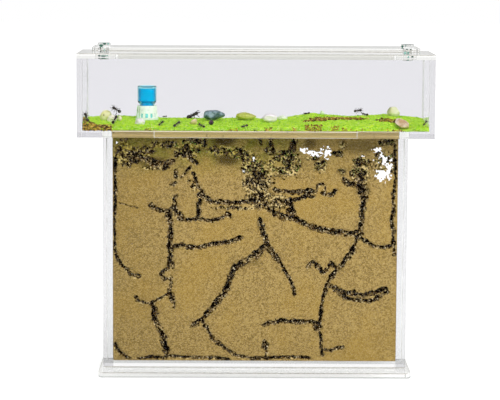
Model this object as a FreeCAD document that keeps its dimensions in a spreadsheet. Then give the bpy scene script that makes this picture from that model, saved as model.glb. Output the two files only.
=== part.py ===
import FreeCAD, Part
import math
import os
import PartDesign
import Sketcher
from FreeCAD import Placement, Rotation, Vector

# Ant habitat: a flat sand nest between clear sheets, standing on a base plate,
# with a shallow foraging box across its top. Millimetres, +Z up, origin at the
# middle of the base plate's underside, +X to the right, +Y to the rear.

doc = FreeCAD.newDocument("AntHabitat")
sizes = doc.addObject("Spreadsheet::Sheet", "Sizes")
part_nodes = []

driving_sizes = {
    "sheet": 3,                  # clear acrylic sheet
    "base_margin": 2,            # base plate beyond each end of the nest
    "base_depth": 50,
    "base_corner": 3,
    "nest_inset": 13.5,          # from an end of the arena in to the nest's side
    "nest_height": 133,
    "cavity": 12,                # gap between the nest panels
    "side_strip": 5.5,
    "foot_strip": 3.5,
    "gallery_depth": 4.5,
    "main_gallery": 3.4,
    "side_gallery": 2.6,
    "chamber_width": 4.6,
    "arena_length": 200,
    "arena_depth": 50,
    "wall_height": 44,
    "arena_floor_thick": 4,
    "tab_length": 29.5,          # tabs of the nest panels, up through the arena floor
    "frame_end": 21,             # width of the top frame at its ends
    "frame_side": 11,            # and along its front and rear
    "hatch_corner": 4,
    "hatch_gap": 0.5,
    "lid_end_setback": 8,
    "lid_side_setback": 7.75,
    "lid_corner": 1.5,
    "vent_inset": 6,             # from an end of the lid in to a vent's middle
    "plug_barrel": 6.4,
    "plug_bore": 5,
    "plug_flange": 7.6,
    "flange_thick": 2,
    "flange_bevel": 0.5,
    "plug_tail": 1.5,            # how far a plug reaches below the top frame
    "plug_fit": 0.1,             # in the lid, which holds the plug
    "notch_gap": 1.2,            # round the plug in the top frame's notch, to drop in freely
    "mesh_thick": 0.4,
    "front_sand": 2.4,           # depth of the green sand along the front wall
    "rear_sand": 4,              # and along the rear wall
    "dune_rise": 1,
    "heap_radius": 15.5,
    "heap_height": 7.3,
    "drinker_inset": 35,         # from the left wall in to the drinker's middle
    "drinker_setback": 15,       # and from the rear wall forward
    "drinker_rise": 0.55,        # how far its foot stands above the even slope of sand
    "stand_foot": 6.6,
    "stand_waist": 5.95,
    "stand_top": 5.3,
    "stand_height": 8,
    "foot_rim": 0.8,
    "trough_floor": 1.2,
    "trough_radius": 4.9,
    "ledge_height": 4.2,
    "ledge_thick": 0.6,
    "ledge_radius": 3.2,
    "window_width": 1.6,
    "window_count": 12,
    "neck_radius": 4.25,
    "neck_fit": 0.1,
    "neck_length": 4.6,
    "bottle_radius": 5.4,
    "bottle_length": 15,
    "bottle_wall": 0.5,
    "shoulder": 1,
    "base_dish": 0.8,
}

# Levels and places worked out from the sizes above.
box_bottom = "Sizes.sheet + Sizes.nest_height"
floor_top = f"{box_bottom} + Sizes.arena_floor_thick"
frame_bottom = f"{box_bottom} + Sizes.wall_height"
lid_bottom = f"{frame_bottom} + Sizes.sheet"
lid_top = f"{lid_bottom} + Sizes.sheet"
nest_width = "(Sizes.arena_length - 2 * Sizes.nest_inset)"
sand_width = f"({nest_width} - 2 * Sizes.side_strip)"
arena_inside_length = "(Sizes.arena_length - 2 * Sizes.sheet)"
arena_inside_depth = "(Sizes.arena_depth - 2 * Sizes.sheet)"
slot_length = f"({nest_width} - 2 * Sizes.tab_length)"
nest_depth = "(Sizes.cavity + 2 * Sizes.sheet)"
hatch_length = "(Sizes.arena_length - 2 * Sizes.frame_end)"
hatch_depth = "(Sizes.arena_depth - 2 * Sizes.frame_side)"
lid_length = "(Sizes.arena_length - 2 * Sizes.lid_end_setback)"
lid_depth = "(Sizes.arena_depth - 2 * Sizes.lid_side_setback)"
vent_x = f"({lid_length} / 2 - Sizes.vent_inset)"
drinker_x = f"(Sizes.drinker_inset - {arena_inside_length} / 2)"
drinker_y = f"({arena_inside_depth} / 2 - Sizes.drinker_setback)"

# Routes of the galleries, seen from the front: (x, depth below the arena floor).
main_galleries = [
    [(-45, 34), (-48, 53), (-49, 75), (-52, 80), (-48, 85), (-49, 91), (-46, 96)],
    [(62, 28), (61, 46), (57, 61), (43, 82), (38, 100), (37, 112), (38, 126)],
    [(5, 64), (-7, 70), (-16, 82), (-18, 91), (-29, 105), (-36, 110)],
    [(3, 49), (6, 63), (14, 71), (23, 90)],
    [(-30, 107), (-25, 116), (-18, 122), (-10, 126), (3, 128)],
    [(6, 40), (13, 46), (31, 50), (50, 56), (58, 55)],
    [(-58, 96), (-56, 110), (-51, 120), (-49, 127)],
]
side_galleries = [
    [(-68, 12), (-56, 16), (-48, 15)],
    [(-59, 40), (-54, 43), (-48, 44)],
    [(-45, 46), (-38, 48), (-26, 48), (-14, 46)],
    [(-46, 63), (-32, 63), (-17, 61), (-8, 58)],
    [(-41, 23), (-35, 22), (-27, 38), (3, 37)],
    [(59, 59), (70, 63), (77, 63)],
    [(11, 31), (24, 33), (33, 34)],
    [(-51, 91), (-58, 96), (-67, 96), (-68, 93)],
    [(-80, 68), (-75, 75), (-67, 80)],
    [(-80, 14), (-79, 52), (-80, 95)],
    [(79, 28), (78, 46), (79, 67)],
    [(30, 75), (35, 73), (38, 79), (44, 73), (46, 76)],
    [(5, 109), (15, 106), (34, 108), (37, 111)],
    [(-80, 120), (-76, 125), (-66, 128), (-15, 128), (12, 127), (31, 128)],
]
chambers = [
    [(43, 86), (51, 92), (61, 94), (69, 92), (76, 88)],
    [(-38, 10), (-26, 18), (-8, 12)],
    [(-4, 12), (4, 24), (2, 36)],
    [(22, 16), (34, 22), (48, 18), (60, 24)],
]

# Stones: half sizes along their length, depth and height, the wall or middle that
# they are placed from and how far from it, the same in depth, how far their middle
# stands above the even slope of sand, and their turn about +Z.
stones = {
    "yellow_pebble": ((3.6, 3, 3.3), ("left", 12), ("rear", 19), 2.9, 10),
    "rose_pebble": ((2.3, 2, 2.1), ("left", 17), ("rear", 27), 2, -20),
    "small_rose_pebble": ((1.2, 1.1, 1.4), ("left", 20), ("rear", 25), 2.1, 15),
    "white_pebble": ((2.9, 2.3, 2.3), ("left", 32), ("front", 8), 1.9, 5),
    "beige_chip": ((2.6, 1.7, 1.8), ("middle", -35), ("front", 10), 1.6, -15),
    "dark_bead": ((1.35, 1.35, 1.35), ("middle", -25), ("front", 9), 1.15, 0),
    "slate_pebble": ((6.2, 4, 2.8), ("middle", -23.5), ("rear", 15), 2.65, 6),
    "olive_pebble": ((6, 3.4, 2.1), ("middle", -5), ("rear", 10), 1.85, -8),
    "quartz_pebble": ((4.4, 3.2, 2.7), ("middle", 8), ("rear", 20), 2.1, 12),
    "pale_pebble": ((2.9, 2.2, 1.6), ("middle", 15.7), ("rear", 12), 1.45, -10),
    "green_chip": ((1.5, 1.2, 1.3), ("middle", 38.6), ("rear", 3), 3.5, 20),
    "lime_pebble": ((3.6, 3, 2.9), ("right", 18), ("rear", 10), 4, 8),
    "brown_pebble": ((4.6, 3.4, 2.9), ("right", 15), ("front", 8), 2.1, -12),
}
stone_rings = [(-1, 0.4), (-0.6, 0.82), (0, 1), (0.55, 0.88), (1, 0.42)]
stone_sides = 10
shoulder_swell = 0.05


def fill_sheet():
    """Write every driving size and its name into the spreadsheet."""
    for row, (name, size) in enumerate(driving_sizes.items(), start=1):
        sizes.set(f"A{row}", name)
        sizes.set(f"B{row}", str(size))
        sizes.setAlias(f"B{row}", name)
    doc.recompute()


def value(expression):
    """The number that an expression has now."""
    return float(sizes.evalExpression(str(expression)))


def bind(thing, **expressions):
    """Tie properties to expressions; x, y and z mean the object's place."""
    for name, expression in expressions.items():
        target = f"Placement.Base.{name}" if name in "xyz" else name
        thing.setExpression(target, str(expression))


def keep(label, thing):
    """Name a finished sub-part, which is then written to its own file."""
    thing.Label = label
    part_nodes.append(thing)
    return thing


def origin_plane(body, role):
    return next(f for f in body.Origin.OriginFeatures if f.Role == role)


def new_body(label, **place):
    body = keep(label, doc.addObject("PartDesign::Body", label))
    bind(body, **place)
    return body


def new_sketch(body, name, role="XY_Plane"):
    sketch = body.newObject("Sketcher::SketchObject", name)
    sketch.AttachmentSupport = (origin_plane(body, role), [""])
    sketch.MapMode = "FlatFace"
    return sketch


def pin_point(sketch, line, end, across, up):
    """Hold one end of a line at two expressions measured from the origin."""
    for kind, axis, expression in (("DistanceX", -2, across), ("DistanceY", -1, up)):
        if str(expression) == "0":
            sketch.addConstraint(Sketcher.Constraint("PointOnObject", line, end, axis))
            continue
        number = sketch.addConstraint(
            Sketcher.Constraint(kind, -1, 1, line, end, value(expression)))
        sketch.setExpression(f"Constraints[{number}]", str(expression))


def draw_outline(sketch, corners):
    """Closed outline of straight lines through corners given as expressions."""
    points = [Vector(value(across), value(up), 0) for across, up in corners]
    first = sketch.GeometryCount
    count = len(points)
    for i in range(count):
        sketch.addGeometry(Part.LineSegment(points[i], points[(i + 1) % count]), False)
    for i in range(count):
        following = first + (i + 1) % count
        sketch.addConstraint(Sketcher.Constraint("Coincident", first + i, 2, following, 1))
    for i, (across, up) in enumerate(corners):
        pin_point(sketch, first + i, 1, across, up)


def draw_rectangle(sketch, length, depth):
    """Rectangle about the origin."""
    right, left = f"({length}) / 2", f"-({length}) / 2"
    rear, front = f"({depth}) / 2", f"-({depth}) / 2"
    draw_outline(sketch, [(left, front), (right, front), (right, rear), (left, rear)])


def draw_circle(sketch, across, diameter):
    """Circle with its centre on the sketch's horizontal axis."""
    centre = Vector(value(across), 0, 0)
    circle = sketch.addGeometry(
        Part.Circle(centre, Vector(0, 0, 1), value(diameter) / 2), False)
    size = sketch.addConstraint(Sketcher.Constraint("Diameter", circle, value(diameter)))
    sketch.setExpression(f"Constraints[{size}]", diameter)
    pin_point(sketch, circle, 3, across, "0")


def pad(body, sketch, thickness):
    feature = body.newObject("PartDesign::Pad", "Pad")
    feature.Profile = sketch
    bind(feature, Length=thickness)
    return feature


def cut_through(body, sketch):
    """Pocket through a plate that stands on the sketch's plane."""
    before = body.Shape.Volume
    feature = body.newObject("PartDesign::Pocket", "Pocket")
    feature.Profile = sketch
    feature.Type = "ThroughAll"
    feature.Midplane = True
    doc.recompute()
    assert body.Shape.Volume < before, f"{body.Label}: the pocket cuts nothing"
    return feature


def revolve(body, corners):
    """Turn an outline of (radius, height) about the body's Z axis."""
    sketch = new_sketch(body, "Profile", "XZ_Plane")
    draw_outline(sketch, corners)
    feature = body.newObject("PartDesign::Revolution", "Revolution")
    feature.Profile = sketch
    feature.ReferenceAxis = (origin_plane(body, "Z_Axis"), [""])
    feature.Angle = 360
    doc.recompute()
    return feature


def upright_edges(feature):
    """Names of the edges of a plate that run along Z."""
    names = []
    for number, edge in enumerate(feature.Shape.Edges, start=1):
        start, end = edge.Vertexes[0].Point, edge.Vertexes[-1].Point
        if abs(start.x - end.x) + abs(start.y - end.y) < 1e-6 and abs(start.z - end.z) > 1e-6:
            names.append(f"Edge{number}")
    return names


def round_corners(body, feature, edges, radius):
    doc.recompute()
    fillet = body.newObject("PartDesign::Fillet", "Fillet")
    fillet.Base = (feature, edges(feature))
    bind(fillet, Radius=radius)
    doc.recompute()
    return fillet


def inside_place(spot):
    """Place inside the arena, from a wall or the middle, as an expression."""
    start, distance = spot
    reach = arena_inside_length if start in ("left", "right") else arena_inside_depth
    if start == "middle":
        return f"({distance})"
    if start in ("left", "front"):
        return f"({distance} - {reach} / 2)"
    return f"({reach} / 2 - {distance})"


def sand_level(y):
    """Height of the even slope of green sand at y, without its dunes."""
    share = f"({y} + {arena_inside_depth} / 2) / {arena_inside_depth}"
    rise = f"(Sizes.rear_sand - Sizes.front_sand) * {share}"
    return f"{floor_top} + Sizes.front_sand + {rise}"


def sheet_piece(label, length, depth, height, x, y, z):
    """Plain rectangular piece, placed by its left, front, bottom corner."""
    piece = keep(label, doc.addObject("Part::Box", label))
    bind(piece, Length=length, Width=depth, Height=height, x=x, y=y, z=z)
    return piece


def make_base_plate():
    body = new_body("base_plate")
    sketch = new_sketch(body, "Outline")
    draw_rectangle(sketch, f"{nest_width} + 2 * Sizes.base_margin", "Sizes.base_depth")
    plate = pad(body, sketch, "Sizes.sheet")
    round_corners(body, plate, upright_edges, "Sizes.base_corner")


def nest_panel(label, y):
    """Sheet with a tab at each upper corner, which passes through the arena floor."""
    body = new_body(label, y=y, z="Sizes.sheet")
    sketch = new_sketch(body, "Outline", "XZ_Plane")
    side, step = f"{nest_width} / 2", f"{slot_length} / 2"
    top = "Sizes.nest_height"
    tab_top = f"{top} + Sizes.arena_floor_thick"
    draw_outline(sketch, [
        (f"-{side}", "0"), (side, "0"), (side, tab_top), (step, tab_top),
        (step, top), (f"-{step}", top), (f"-{step}", tab_top), (f"-{side}", tab_top),
    ])
    pad(body, sketch, "Sizes.sheet")


def make_nest_case():
    """Two panels, with strips between them at both sides and along the foot."""
    cavity_front = "-Sizes.cavity / 2"
    nest_panel("nest_front_panel", cavity_front)
    nest_panel("nest_rear_panel", "Sizes.cavity / 2 + Sizes.sheet")
    for label, left in (("nest_left_strip", f"-{nest_width} / 2"),
                        ("nest_right_strip", f"{nest_width} / 2 - Sizes.side_strip")):
        sheet_piece(label, "Sizes.side_strip", "Sizes.cavity",
                    "Sizes.nest_height + Sizes.arena_floor_thick",
                    left, cavity_front, "Sizes.sheet")
    sheet_piece("nest_foot_strip", sand_width, "Sizes.cavity", "Sizes.foot_strip",
                f"-{sand_width} / 2", cavity_front, "Sizes.sheet")


def gallery_tool(route, width):
    """Round-ended channel along a route, from the sand's front face inwards."""
    line = doc.addObject("Part::Polygon", "Route")
    line.Nodes = [Vector(x, 0, -depth) for x, depth in route]
    bind(line, y="-Sizes.cavity / 2", z=box_bottom)
    outline = doc.addObject("Part::Offset2D", "GalleryOutline")
    outline.Source = line
    outline.Mode = "Pipe"
    outline.Join = "Arc"
    outline.Fill = True
    bind(outline, Value=f"Sizes.{width} / 2")
    channel = doc.addObject("Part::Extrusion", "Gallery")
    channel.Base = outline
    channel.DirMode = "Custom"
    channel.Dir = Vector(0, 1, 0)
    channel.Solid = True
    bind(channel, LengthFwd="Sizes.gallery_depth")
    return channel


def make_nest_sand():
    """Sand slab up to the arena floor's top, with galleries dug in its front."""
    slab = doc.addObject("Part::Box", "SandSlab")
    bind(slab, Length=sand_width, Width="Sizes.cavity",
         Height="Sizes.nest_height + Sizes.arena_floor_thick - Sizes.foot_strip",
         x=f"-{sand_width} / 2", y="-Sizes.cavity / 2", z="Sizes.sheet + Sizes.foot_strip")
    tools = [gallery_tool(route, "main_gallery") for route in main_galleries]
    tools += [gallery_tool(route, "side_gallery") for route in side_galleries]
    tools += [gallery_tool(route, "chamber_width") for route in chambers]
    dug = doc.addObject("Part::MultiFuse", "AllGalleries")
    dug.Shapes = tools
    sand = keep("nest_sand", doc.addObject("Part::Cut", "nest_sand"))
    sand.Base = slab
    sand.Tool = dug


def make_arena_box():
    """Floor cut out for the nest's mouth and tabs, four walls and the top frame.

    The frame's hatch has a notch at each end, where a vent plug hangs.
    """
    floor = new_body("arena_floor", z=box_bottom)
    outline = new_sketch(floor, "Outline")
    draw_rectangle(outline, arena_inside_length, arena_inside_depth)
    pad(floor, outline, "Sizes.arena_floor_thick")
    doc.recompute()
    slot = new_sketch(floor, "Slot")
    end, step = f"{nest_width} / 2", f"{slot_length} / 2"
    inner, outer = "Sizes.cavity / 2", f"{nest_depth} / 2"
    quarter = [(step, inner), (step, outer), (end, outer)]
    right = quarter + [(x, f"-{y}") for x, y in reversed(quarter)]
    draw_outline(slot, right + [(f"-({x})", f"-({y})") for x, y in right])
    cut_through(floor, slot)

    left, front = "-Sizes.arena_length / 2", "-Sizes.arena_depth / 2"
    for label, y in (("arena_front_wall", front),
                     ("arena_rear_wall", "Sizes.arena_depth / 2 - Sizes.sheet")):
        sheet_piece(label, "Sizes.arena_length", "Sizes.sheet", "Sizes.wall_height",
                    left, y, box_bottom)
    for label, x in (("arena_left_wall", left),
                     ("arena_right_wall", "Sizes.arena_length / 2 - Sizes.sheet")):
        sheet_piece(label, "Sizes.sheet", arena_inside_depth, "Sizes.wall_height",
                    x, f"-{arena_inside_depth} / 2", box_bottom)

    frame = new_body("arena_top_frame", z=frame_bottom)
    outline = new_sketch(frame, "Outline")
    draw_rectangle(outline, "Sizes.arena_length", "Sizes.arena_depth")
    pad(frame, outline, "Sizes.sheet")
    doc.recompute()
    hatch = new_sketch(frame, "Hatch")
    draw_rectangle(hatch, hatch_length, hatch_depth)
    opening = cut_through(frame, hatch)
    round_corners(frame, opening, hatch_corners, "Sizes.hatch_corner")
    notches = new_sketch(frame, "VentNotches")
    reach = "Sizes.plug_barrel / 2 + Sizes.notch_gap"
    draw_rectangle(notches, f"2 * ({vent_x} + {reach})", f"2 * ({reach})")
    cut_through(frame, notches)


def hatch_corners(feature):
    """Upright edges of the hatch, which lie inside the frame's outline."""
    limit = value(hatch_length) / 2 + 1e-3
    names = upright_edges(feature)
    return [n for n in names if abs(feature.Shape.getElement(n).Vertexes[0].X) < limit]


def make_lid():
    """Cover plate, with a locating plate under it that drops into the hatch."""
    cover = new_body("lid_plate", z=lid_bottom)
    outline = new_sketch(cover, "Outline")
    draw_rectangle(outline, lid_length, lid_depth)
    plate = pad(cover, outline, "Sizes.sheet")
    round_corners(cover, plate, upright_edges, "Sizes.lid_corner")
    holes = new_sketch(cover, "VentHoles")
    for across in (f"-{vent_x}", vent_x):
        draw_circle(holes, across, "Sizes.plug_barrel + 2 * Sizes.plug_fit")
    cut_through(cover, holes)

    locator = new_body("lid_locating_plate", z=frame_bottom)
    outline = new_sketch(locator, "Outline")
    draw_rectangle(outline, f"{hatch_length} - 2 * Sizes.hatch_gap",
                   f"{hatch_depth} - 2 * Sizes.hatch_gap")
    plate = pad(locator, outline, "Sizes.sheet")
    round_corners(locator, plate, upright_edges, "Sizes.hatch_corner")


def make_vent(side, x):
    """Flanged plug through lid and frame, with a mesh disc across its lower end."""
    plug = new_body(f"vent_plug_{side}", x=x, z=lid_top)
    bore, barrel, flange = "Sizes.plug_bore / 2", "Sizes.plug_barrel / 2", "Sizes.plug_flange / 2"
    tail = "-(2 * Sizes.sheet + Sizes.plug_tail)"
    revolve(plug, [
        (bore, tail), (barrel, tail), (barrel, "0"), (flange, "0"),
        (flange, "Sizes.flange_thick - Sizes.flange_bevel"),
        (f"{flange} - Sizes.flange_bevel", "Sizes.flange_thick"),
        (bore, "Sizes.flange_thick"),
    ])
    mesh = keep(f"vent_mesh_{side}", doc.addObject("Part::Cylinder", f"vent_mesh_{side}"))
    bind(mesh, Radius=bore, Height="Sizes.mesh_thick", x=x, z=f"{lid_top} + {tail}")


def stone_ring(half_length, half_depth, height, phase):
    """Closed ring of a tumbled stone: an ellipse with three soft shoulders."""
    ring = doc.addObject("Part::Polygon", "StoneRing")
    corners = []
    for i in range(stone_sides):
        angle = 2 * math.pi * i / stone_sides
        swell = 1 + shoulder_swell * math.cos(3 * angle + phase)
        corners.append(Vector(half_length * swell * math.cos(angle),
                              half_depth * swell * math.sin(angle), height))
    ring.Nodes = corners
    ring.Close = True
    return ring


def make_stones():
    """Lofted stones, each set into the sand at its own place."""
    made = []
    for label, (half_sizes, across, along, above_sand, turn) in stones.items():
        length, depth, height = half_sizes
        stone = keep(label, doc.addObject("Part::Loft", label))
        stone.Sections = [stone_ring(length * width, depth * width, height * level, length)
                          for level, width in stone_rings]
        stone.Solid = True
        stone.Ruled = True
        stone.Linearize = True
        stone.Placement = Placement(Vector(0, 0, 0), Rotation(Vector(0, 0, 1), turn))
        y = inside_place(along)
        x = inside_place(across)
        bind(stone, x=x, y=y, z=f"{sand_level(y)} + {above_sand}")
        made.append(stone)
    return made


def make_soil_heap():
    """Quarter cone of dug-out soil in the front left corner of the arena."""
    heap = keep("soil_heap", doc.addObject("Part::Cone", "soil_heap"))
    heap.Radius2 = 0
    heap.Angle = 90
    bind(heap, Radius1="Sizes.heap_radius", Height="Sizes.heap_height",
         x=f"-{arena_inside_length} / 2", y=f"-{arena_inside_depth} / 2", z=floor_top)
    return heap


def dune_profile(body, name, y, depth, rises):
    """Cross-section of the green sand: flat below, a smooth line of dunes above."""
    sketch = new_sketch(body, name, "XZ_Plane")
    bind(sketch, **{"AttachmentOffset.Base.z": f"-({y})"})
    half = value(arena_inside_length) / 2
    step = 2 * half / (len(rises) - 1)
    crest = [Vector(-half + i * step, value(depth) + rise * value("Sizes.dune_rise"), 0)
             for i, rise in enumerate(rises)]
    curve = Part.BSplineCurve()
    curve.interpolate(crest)
    sketch.addGeometry(curve, False)
    left, right = Vector(-half, 0, 0), Vector(half, 0, 0)
    for start, end in ((crest[-1], right), (right, left), (left, crest[0])):
        sketch.addGeometry(Part.LineSegment(start, end), False)
    return sketch


def make_green_sand(buried):
    """Bed of coloured sand, lofted from the front wall to the rear wall."""
    bed = doc.addObject("PartDesign::Body", "SandBed")
    bind(bed, z=floor_top)
    half_depth = f"{arena_inside_depth} / 2"
    front = dune_profile(bed, "FrontDunes", f"-{half_depth}", "Sizes.front_sand",
                         (0.2, 0.6, 0.1, -0.1, -0.1, -0.1, 0.8, 0.3, 0.6, -0.1))
    rear = dune_profile(bed, "RearDunes", half_depth, "Sizes.rear_sand",
                        (0.3, 1.2, 0.1, -0.1, -0.1, -0.1, 2.9, 1.1, 2.2, -0.4))
    loft = bed.newObject("PartDesign::AdditiveLoft", "Dunes")
    loft.Profile = front
    loft.Sections = [rear]
    loft.Ruled = True
    seat = doc.addObject("Part::Cylinder", "DrinkerSeat")
    bind(seat, Radius="Sizes.stand_foot", Height="Sizes.stand_height",
         x=drinker_x, y=drinker_y, z=stand_level())
    pressed = doc.addObject("Part::MultiFuse", "Pressed")
    pressed.Shapes = buried + [seat]
    sand = keep("green_sand", doc.addObject("Part::Cut", "green_sand"))
    sand.Base = bed
    sand.Tool = pressed


def stand_level():
    """Height of the drinker's foot, pressed level into the sand."""
    return f"{sand_level(drinker_y)} + Sizes.drinker_rise"


def make_drinker_stand():
    """Flared foot with a drinking trough, and a socket for the bottle's neck."""
    stand = new_body("drinker_stand", x=drinker_x, y=drinker_y, z=stand_level())
    socket = "Sizes.neck_radius + Sizes.neck_fit"
    ledge_under = "Sizes.ledge_height - Sizes.ledge_thick"
    revolve(stand, [
        ("0", "0"), ("Sizes.stand_foot", "0"), ("Sizes.stand_foot", "Sizes.foot_rim"),
        ("Sizes.stand_waist", "Sizes.foot_rim"),
        ("Sizes.stand_top", "Sizes.stand_height"), (socket, "Sizes.stand_height"),
        (socket, "Sizes.ledge_height"), ("Sizes.ledge_radius", "Sizes.ledge_height"),
        ("Sizes.ledge_radius", ledge_under), ("Sizes.trough_radius", ledge_under),
        ("Sizes.trough_radius", "Sizes.trough_floor"), ("0", "Sizes.trough_floor"),
    ])
    before = stand.Shape.Volume
    window = new_sketch(stand, "Window", "XZ_Plane")
    left, right = "-Sizes.window_width / 2", "Sizes.window_width / 2"
    draw_outline(window, [(left, "Sizes.trough_floor"), (right, "Sizes.trough_floor"),
                          (right, ledge_under), (left, ledge_under)])
    opening = stand.newObject("PartDesign::Pocket", "WindowCut")
    opening.Profile = window
    bind(opening, Length="2 * Sizes.stand_foot")
    doc.recompute()
    ring = stand.newObject("PartDesign::PolarPattern", "Windows")
    ring.Originals = [opening]
    ring.Axis = (origin_plane(stand, "Z_Axis"), [""])
    ring.Angle = 360
    bind(ring, Occurrences="Sizes.window_count")
    stand.Tip = ring
    doc.recompute()
    assert stand.Shape.Volume < before, "the drinking windows cut nothing"


def make_drinker_bottle():
    """Upturned bottle with a dished base, and the water that fills it."""
    lip = f"{stand_level()} + Sizes.ledge_height"
    place = {"x": drinker_x, "y": drinker_y, "z": lip}
    bottle = new_body("drinker_bottle", **place)
    neck, shell, wall = "Sizes.neck_radius", "Sizes.bottle_radius", "Sizes.bottle_wall"
    shoulder_top = "Sizes.neck_length + Sizes.shoulder"
    rim = "Sizes.bottle_length"
    dish = f"{rim} - Sizes.base_dish"
    inside = [
        (f"{neck} - {wall}", "0"), (f"{neck} - {wall}", f"{shoulder_top} + {wall}"),
        (f"{shell} - {wall}", f"{shoulder_top} + {wall}"),
        (f"{shell} - {wall}", f"{dish} - {wall}"), ("0", f"{dish} - {wall}"),
    ]
    outside = [
        ("0", dish), (f"{shell} - 2 * {wall}", dish), (f"{shell} - 2 * {wall}", rim),
        (shell, rim), (shell, shoulder_top), (neck, "Sizes.neck_length"), (neck, "0"),
    ]
    revolve(bottle, inside + outside)
    water = new_body("drinker_water", **place)
    revolve(water, [("0", "0")] + inside)


def check_and_write():
    """Stop on any failed object, then write each sub-part to its own file."""
    doc.recompute()
    for thing in doc.Objects:
        failed = {"Invalid", "Error"} & set(thing.State)
        assert not failed, f"{thing.Label}: {thing.State}"
    os.makedirs("parts", exist_ok=True)
    for node in part_nodes:
        shape = node.Shape
        assert not shape.isNull() and shape.isValid(), f"{node.Label}: bad shape"
        shape.exportStep(f"parts/{node.Label}.step")
        print(f"{node.Label}: {len(shape.Solids)} solid, {shape.Volume:.1f} mm3")


fill_sheet()
make_base_plate()
make_nest_case()
make_nest_sand()
make_arena_box()
make_lid()
make_vent("left", f"-{vent_x}")
make_vent("right", vent_x)
make_green_sand(make_stones() + [make_soil_heap()])
make_drinker_stand()
make_drinker_bottle()
check_and_write()
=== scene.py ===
import bpy
import math
import numpy as np
from mathutils import Matrix, Vector


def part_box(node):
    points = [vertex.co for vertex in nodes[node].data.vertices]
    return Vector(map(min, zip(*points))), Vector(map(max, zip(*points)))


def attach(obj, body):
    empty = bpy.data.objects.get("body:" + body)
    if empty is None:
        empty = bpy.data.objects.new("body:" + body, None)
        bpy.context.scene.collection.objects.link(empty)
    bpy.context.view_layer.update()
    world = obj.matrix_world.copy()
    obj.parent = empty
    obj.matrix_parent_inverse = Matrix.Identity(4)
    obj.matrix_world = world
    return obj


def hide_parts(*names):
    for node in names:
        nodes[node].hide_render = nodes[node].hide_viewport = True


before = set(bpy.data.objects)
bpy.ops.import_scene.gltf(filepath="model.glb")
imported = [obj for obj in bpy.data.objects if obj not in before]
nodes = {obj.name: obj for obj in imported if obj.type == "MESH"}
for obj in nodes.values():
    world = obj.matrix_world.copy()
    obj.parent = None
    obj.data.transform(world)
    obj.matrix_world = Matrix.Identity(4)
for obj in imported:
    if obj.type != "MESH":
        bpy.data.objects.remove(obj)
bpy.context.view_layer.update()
scene = bpy.context.scene
scene.view_settings.view_transform = "Standard"
mm = 0.001  # lengths are in millimetres, but in metres in camera, studio and the materials

camera = {"place": (-0.0104, -1.225, 0.2398), "tilt": 6.58, "yaw": 0.35, "roll": 0.284, "lens": 155.3}


def addCamera():
    tilt, yaw, roll = (math.radians(camera[key]) for key in ("tilt", "yaw", "roll"))
    turn = (Matrix.Rotation(-yaw, 4, "Z") @ Matrix.Rotation(math.pi / 2 - tilt, 4, "X")
            @ Matrix.Rotation(roll, 4, "Z"))
    bpy.ops.object.camera_add(location=camera["place"], rotation=turn.to_euler())
    view = bpy.context.object
    view.data.lens = camera["lens"]
    view.data.sensor_width = 36
    view.data.clip_end = 50
    scene.camera = view


# small helpers for modelling

def pick(*pieces):
    if bpy.context.mode != "OBJECT":
        bpy.ops.object.mode_set(mode="OBJECT")
    bpy.ops.object.select_all(action="DESELECT")
    for piece in pieces:
        piece.select_set(True)
    bpy.context.view_layer.objects.active = pieces[0]


def join(pieces):
    pick(*pieces)
    bpy.ops.object.join()
    return bpy.context.object


def settle(piece):  # its place goes into its mesh
    pick(piece)
    bpy.ops.object.transform_apply(location=True, rotation=True, scale=True)


def modify(piece, kind, **settings):
    pick(piece)
    bpy.ops.object.modifier_add(type=kind)
    change = piece.modifiers[-1]
    for key, value in settings.items():
        setattr(change, key, value)
    bpy.ops.object.modifier_apply(modifier=change.name)


def editAll(piece, operator, **settings):  # one edit-mode operator on the whole mesh
    pick(piece)
    bpy.ops.object.mode_set(mode="EDIT")
    bpy.ops.mesh.select_all(action="SELECT")
    operator(**settings)
    bpy.ops.object.mode_set(mode="OBJECT")


def fixNormals(piece, distance=1e-6):
    pick(piece)
    bpy.ops.object.mode_set(mode="EDIT")
    bpy.ops.mesh.select_all(action="SELECT")
    bpy.ops.mesh.remove_doubles(threshold=distance)
    bpy.ops.mesh.normals_make_consistent(inside=False)
    bpy.ops.object.mode_set(mode="OBJECT")


def rowsOf(elements, key):
    values = np.empty(len(elements) * 3, np.float32)
    elements.foreach_get(key, values)
    return values.reshape(-1, 3).astype(float) / mm


def points(piece):
    return rowsOf(piece.data.vertices, "co")


def movePoints(piece, spots):
    piece.data.vertices.foreach_set("co", (spots * mm).astype(np.float32).ravel())
    piece.data.update()


def keepValues(piece, name, values):  # one number per vertex, for its material
    layer = piece.data.attributes.new(name, "FLOAT", "POINT")
    layer.data.foreach_set("value", values.astype(np.float32))


def dress(piece, material):
    piece.data.materials.clear()
    piece.data.materials.append(material)


def finishPiece(piece, name, material, replaced=(), angle=40, body="habitat"):
    settle(piece)
    if angle:
        bpy.ops.object.shade_smooth_by_angle(angle=math.radians(angle))
    piece.name = piece.data.name = name
    dress(piece, material)
    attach(piece, body)
    if replaced:
        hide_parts(*replaced)


def addGrid(middle, wide, deep, columns, rows, upright=False):
    bpy.ops.mesh.primitive_grid_add(x_subdivisions=columns, y_subdivisions=rows, size=1,
                                    location=[value * mm for value in middle],
                                    rotation=(math.pi / 2 if upright else 0, 0, 0))
    grid = bpy.context.object
    grid.scale = (wide * mm, deep * mm, 1)
    settle(grid)
    return grid


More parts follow.
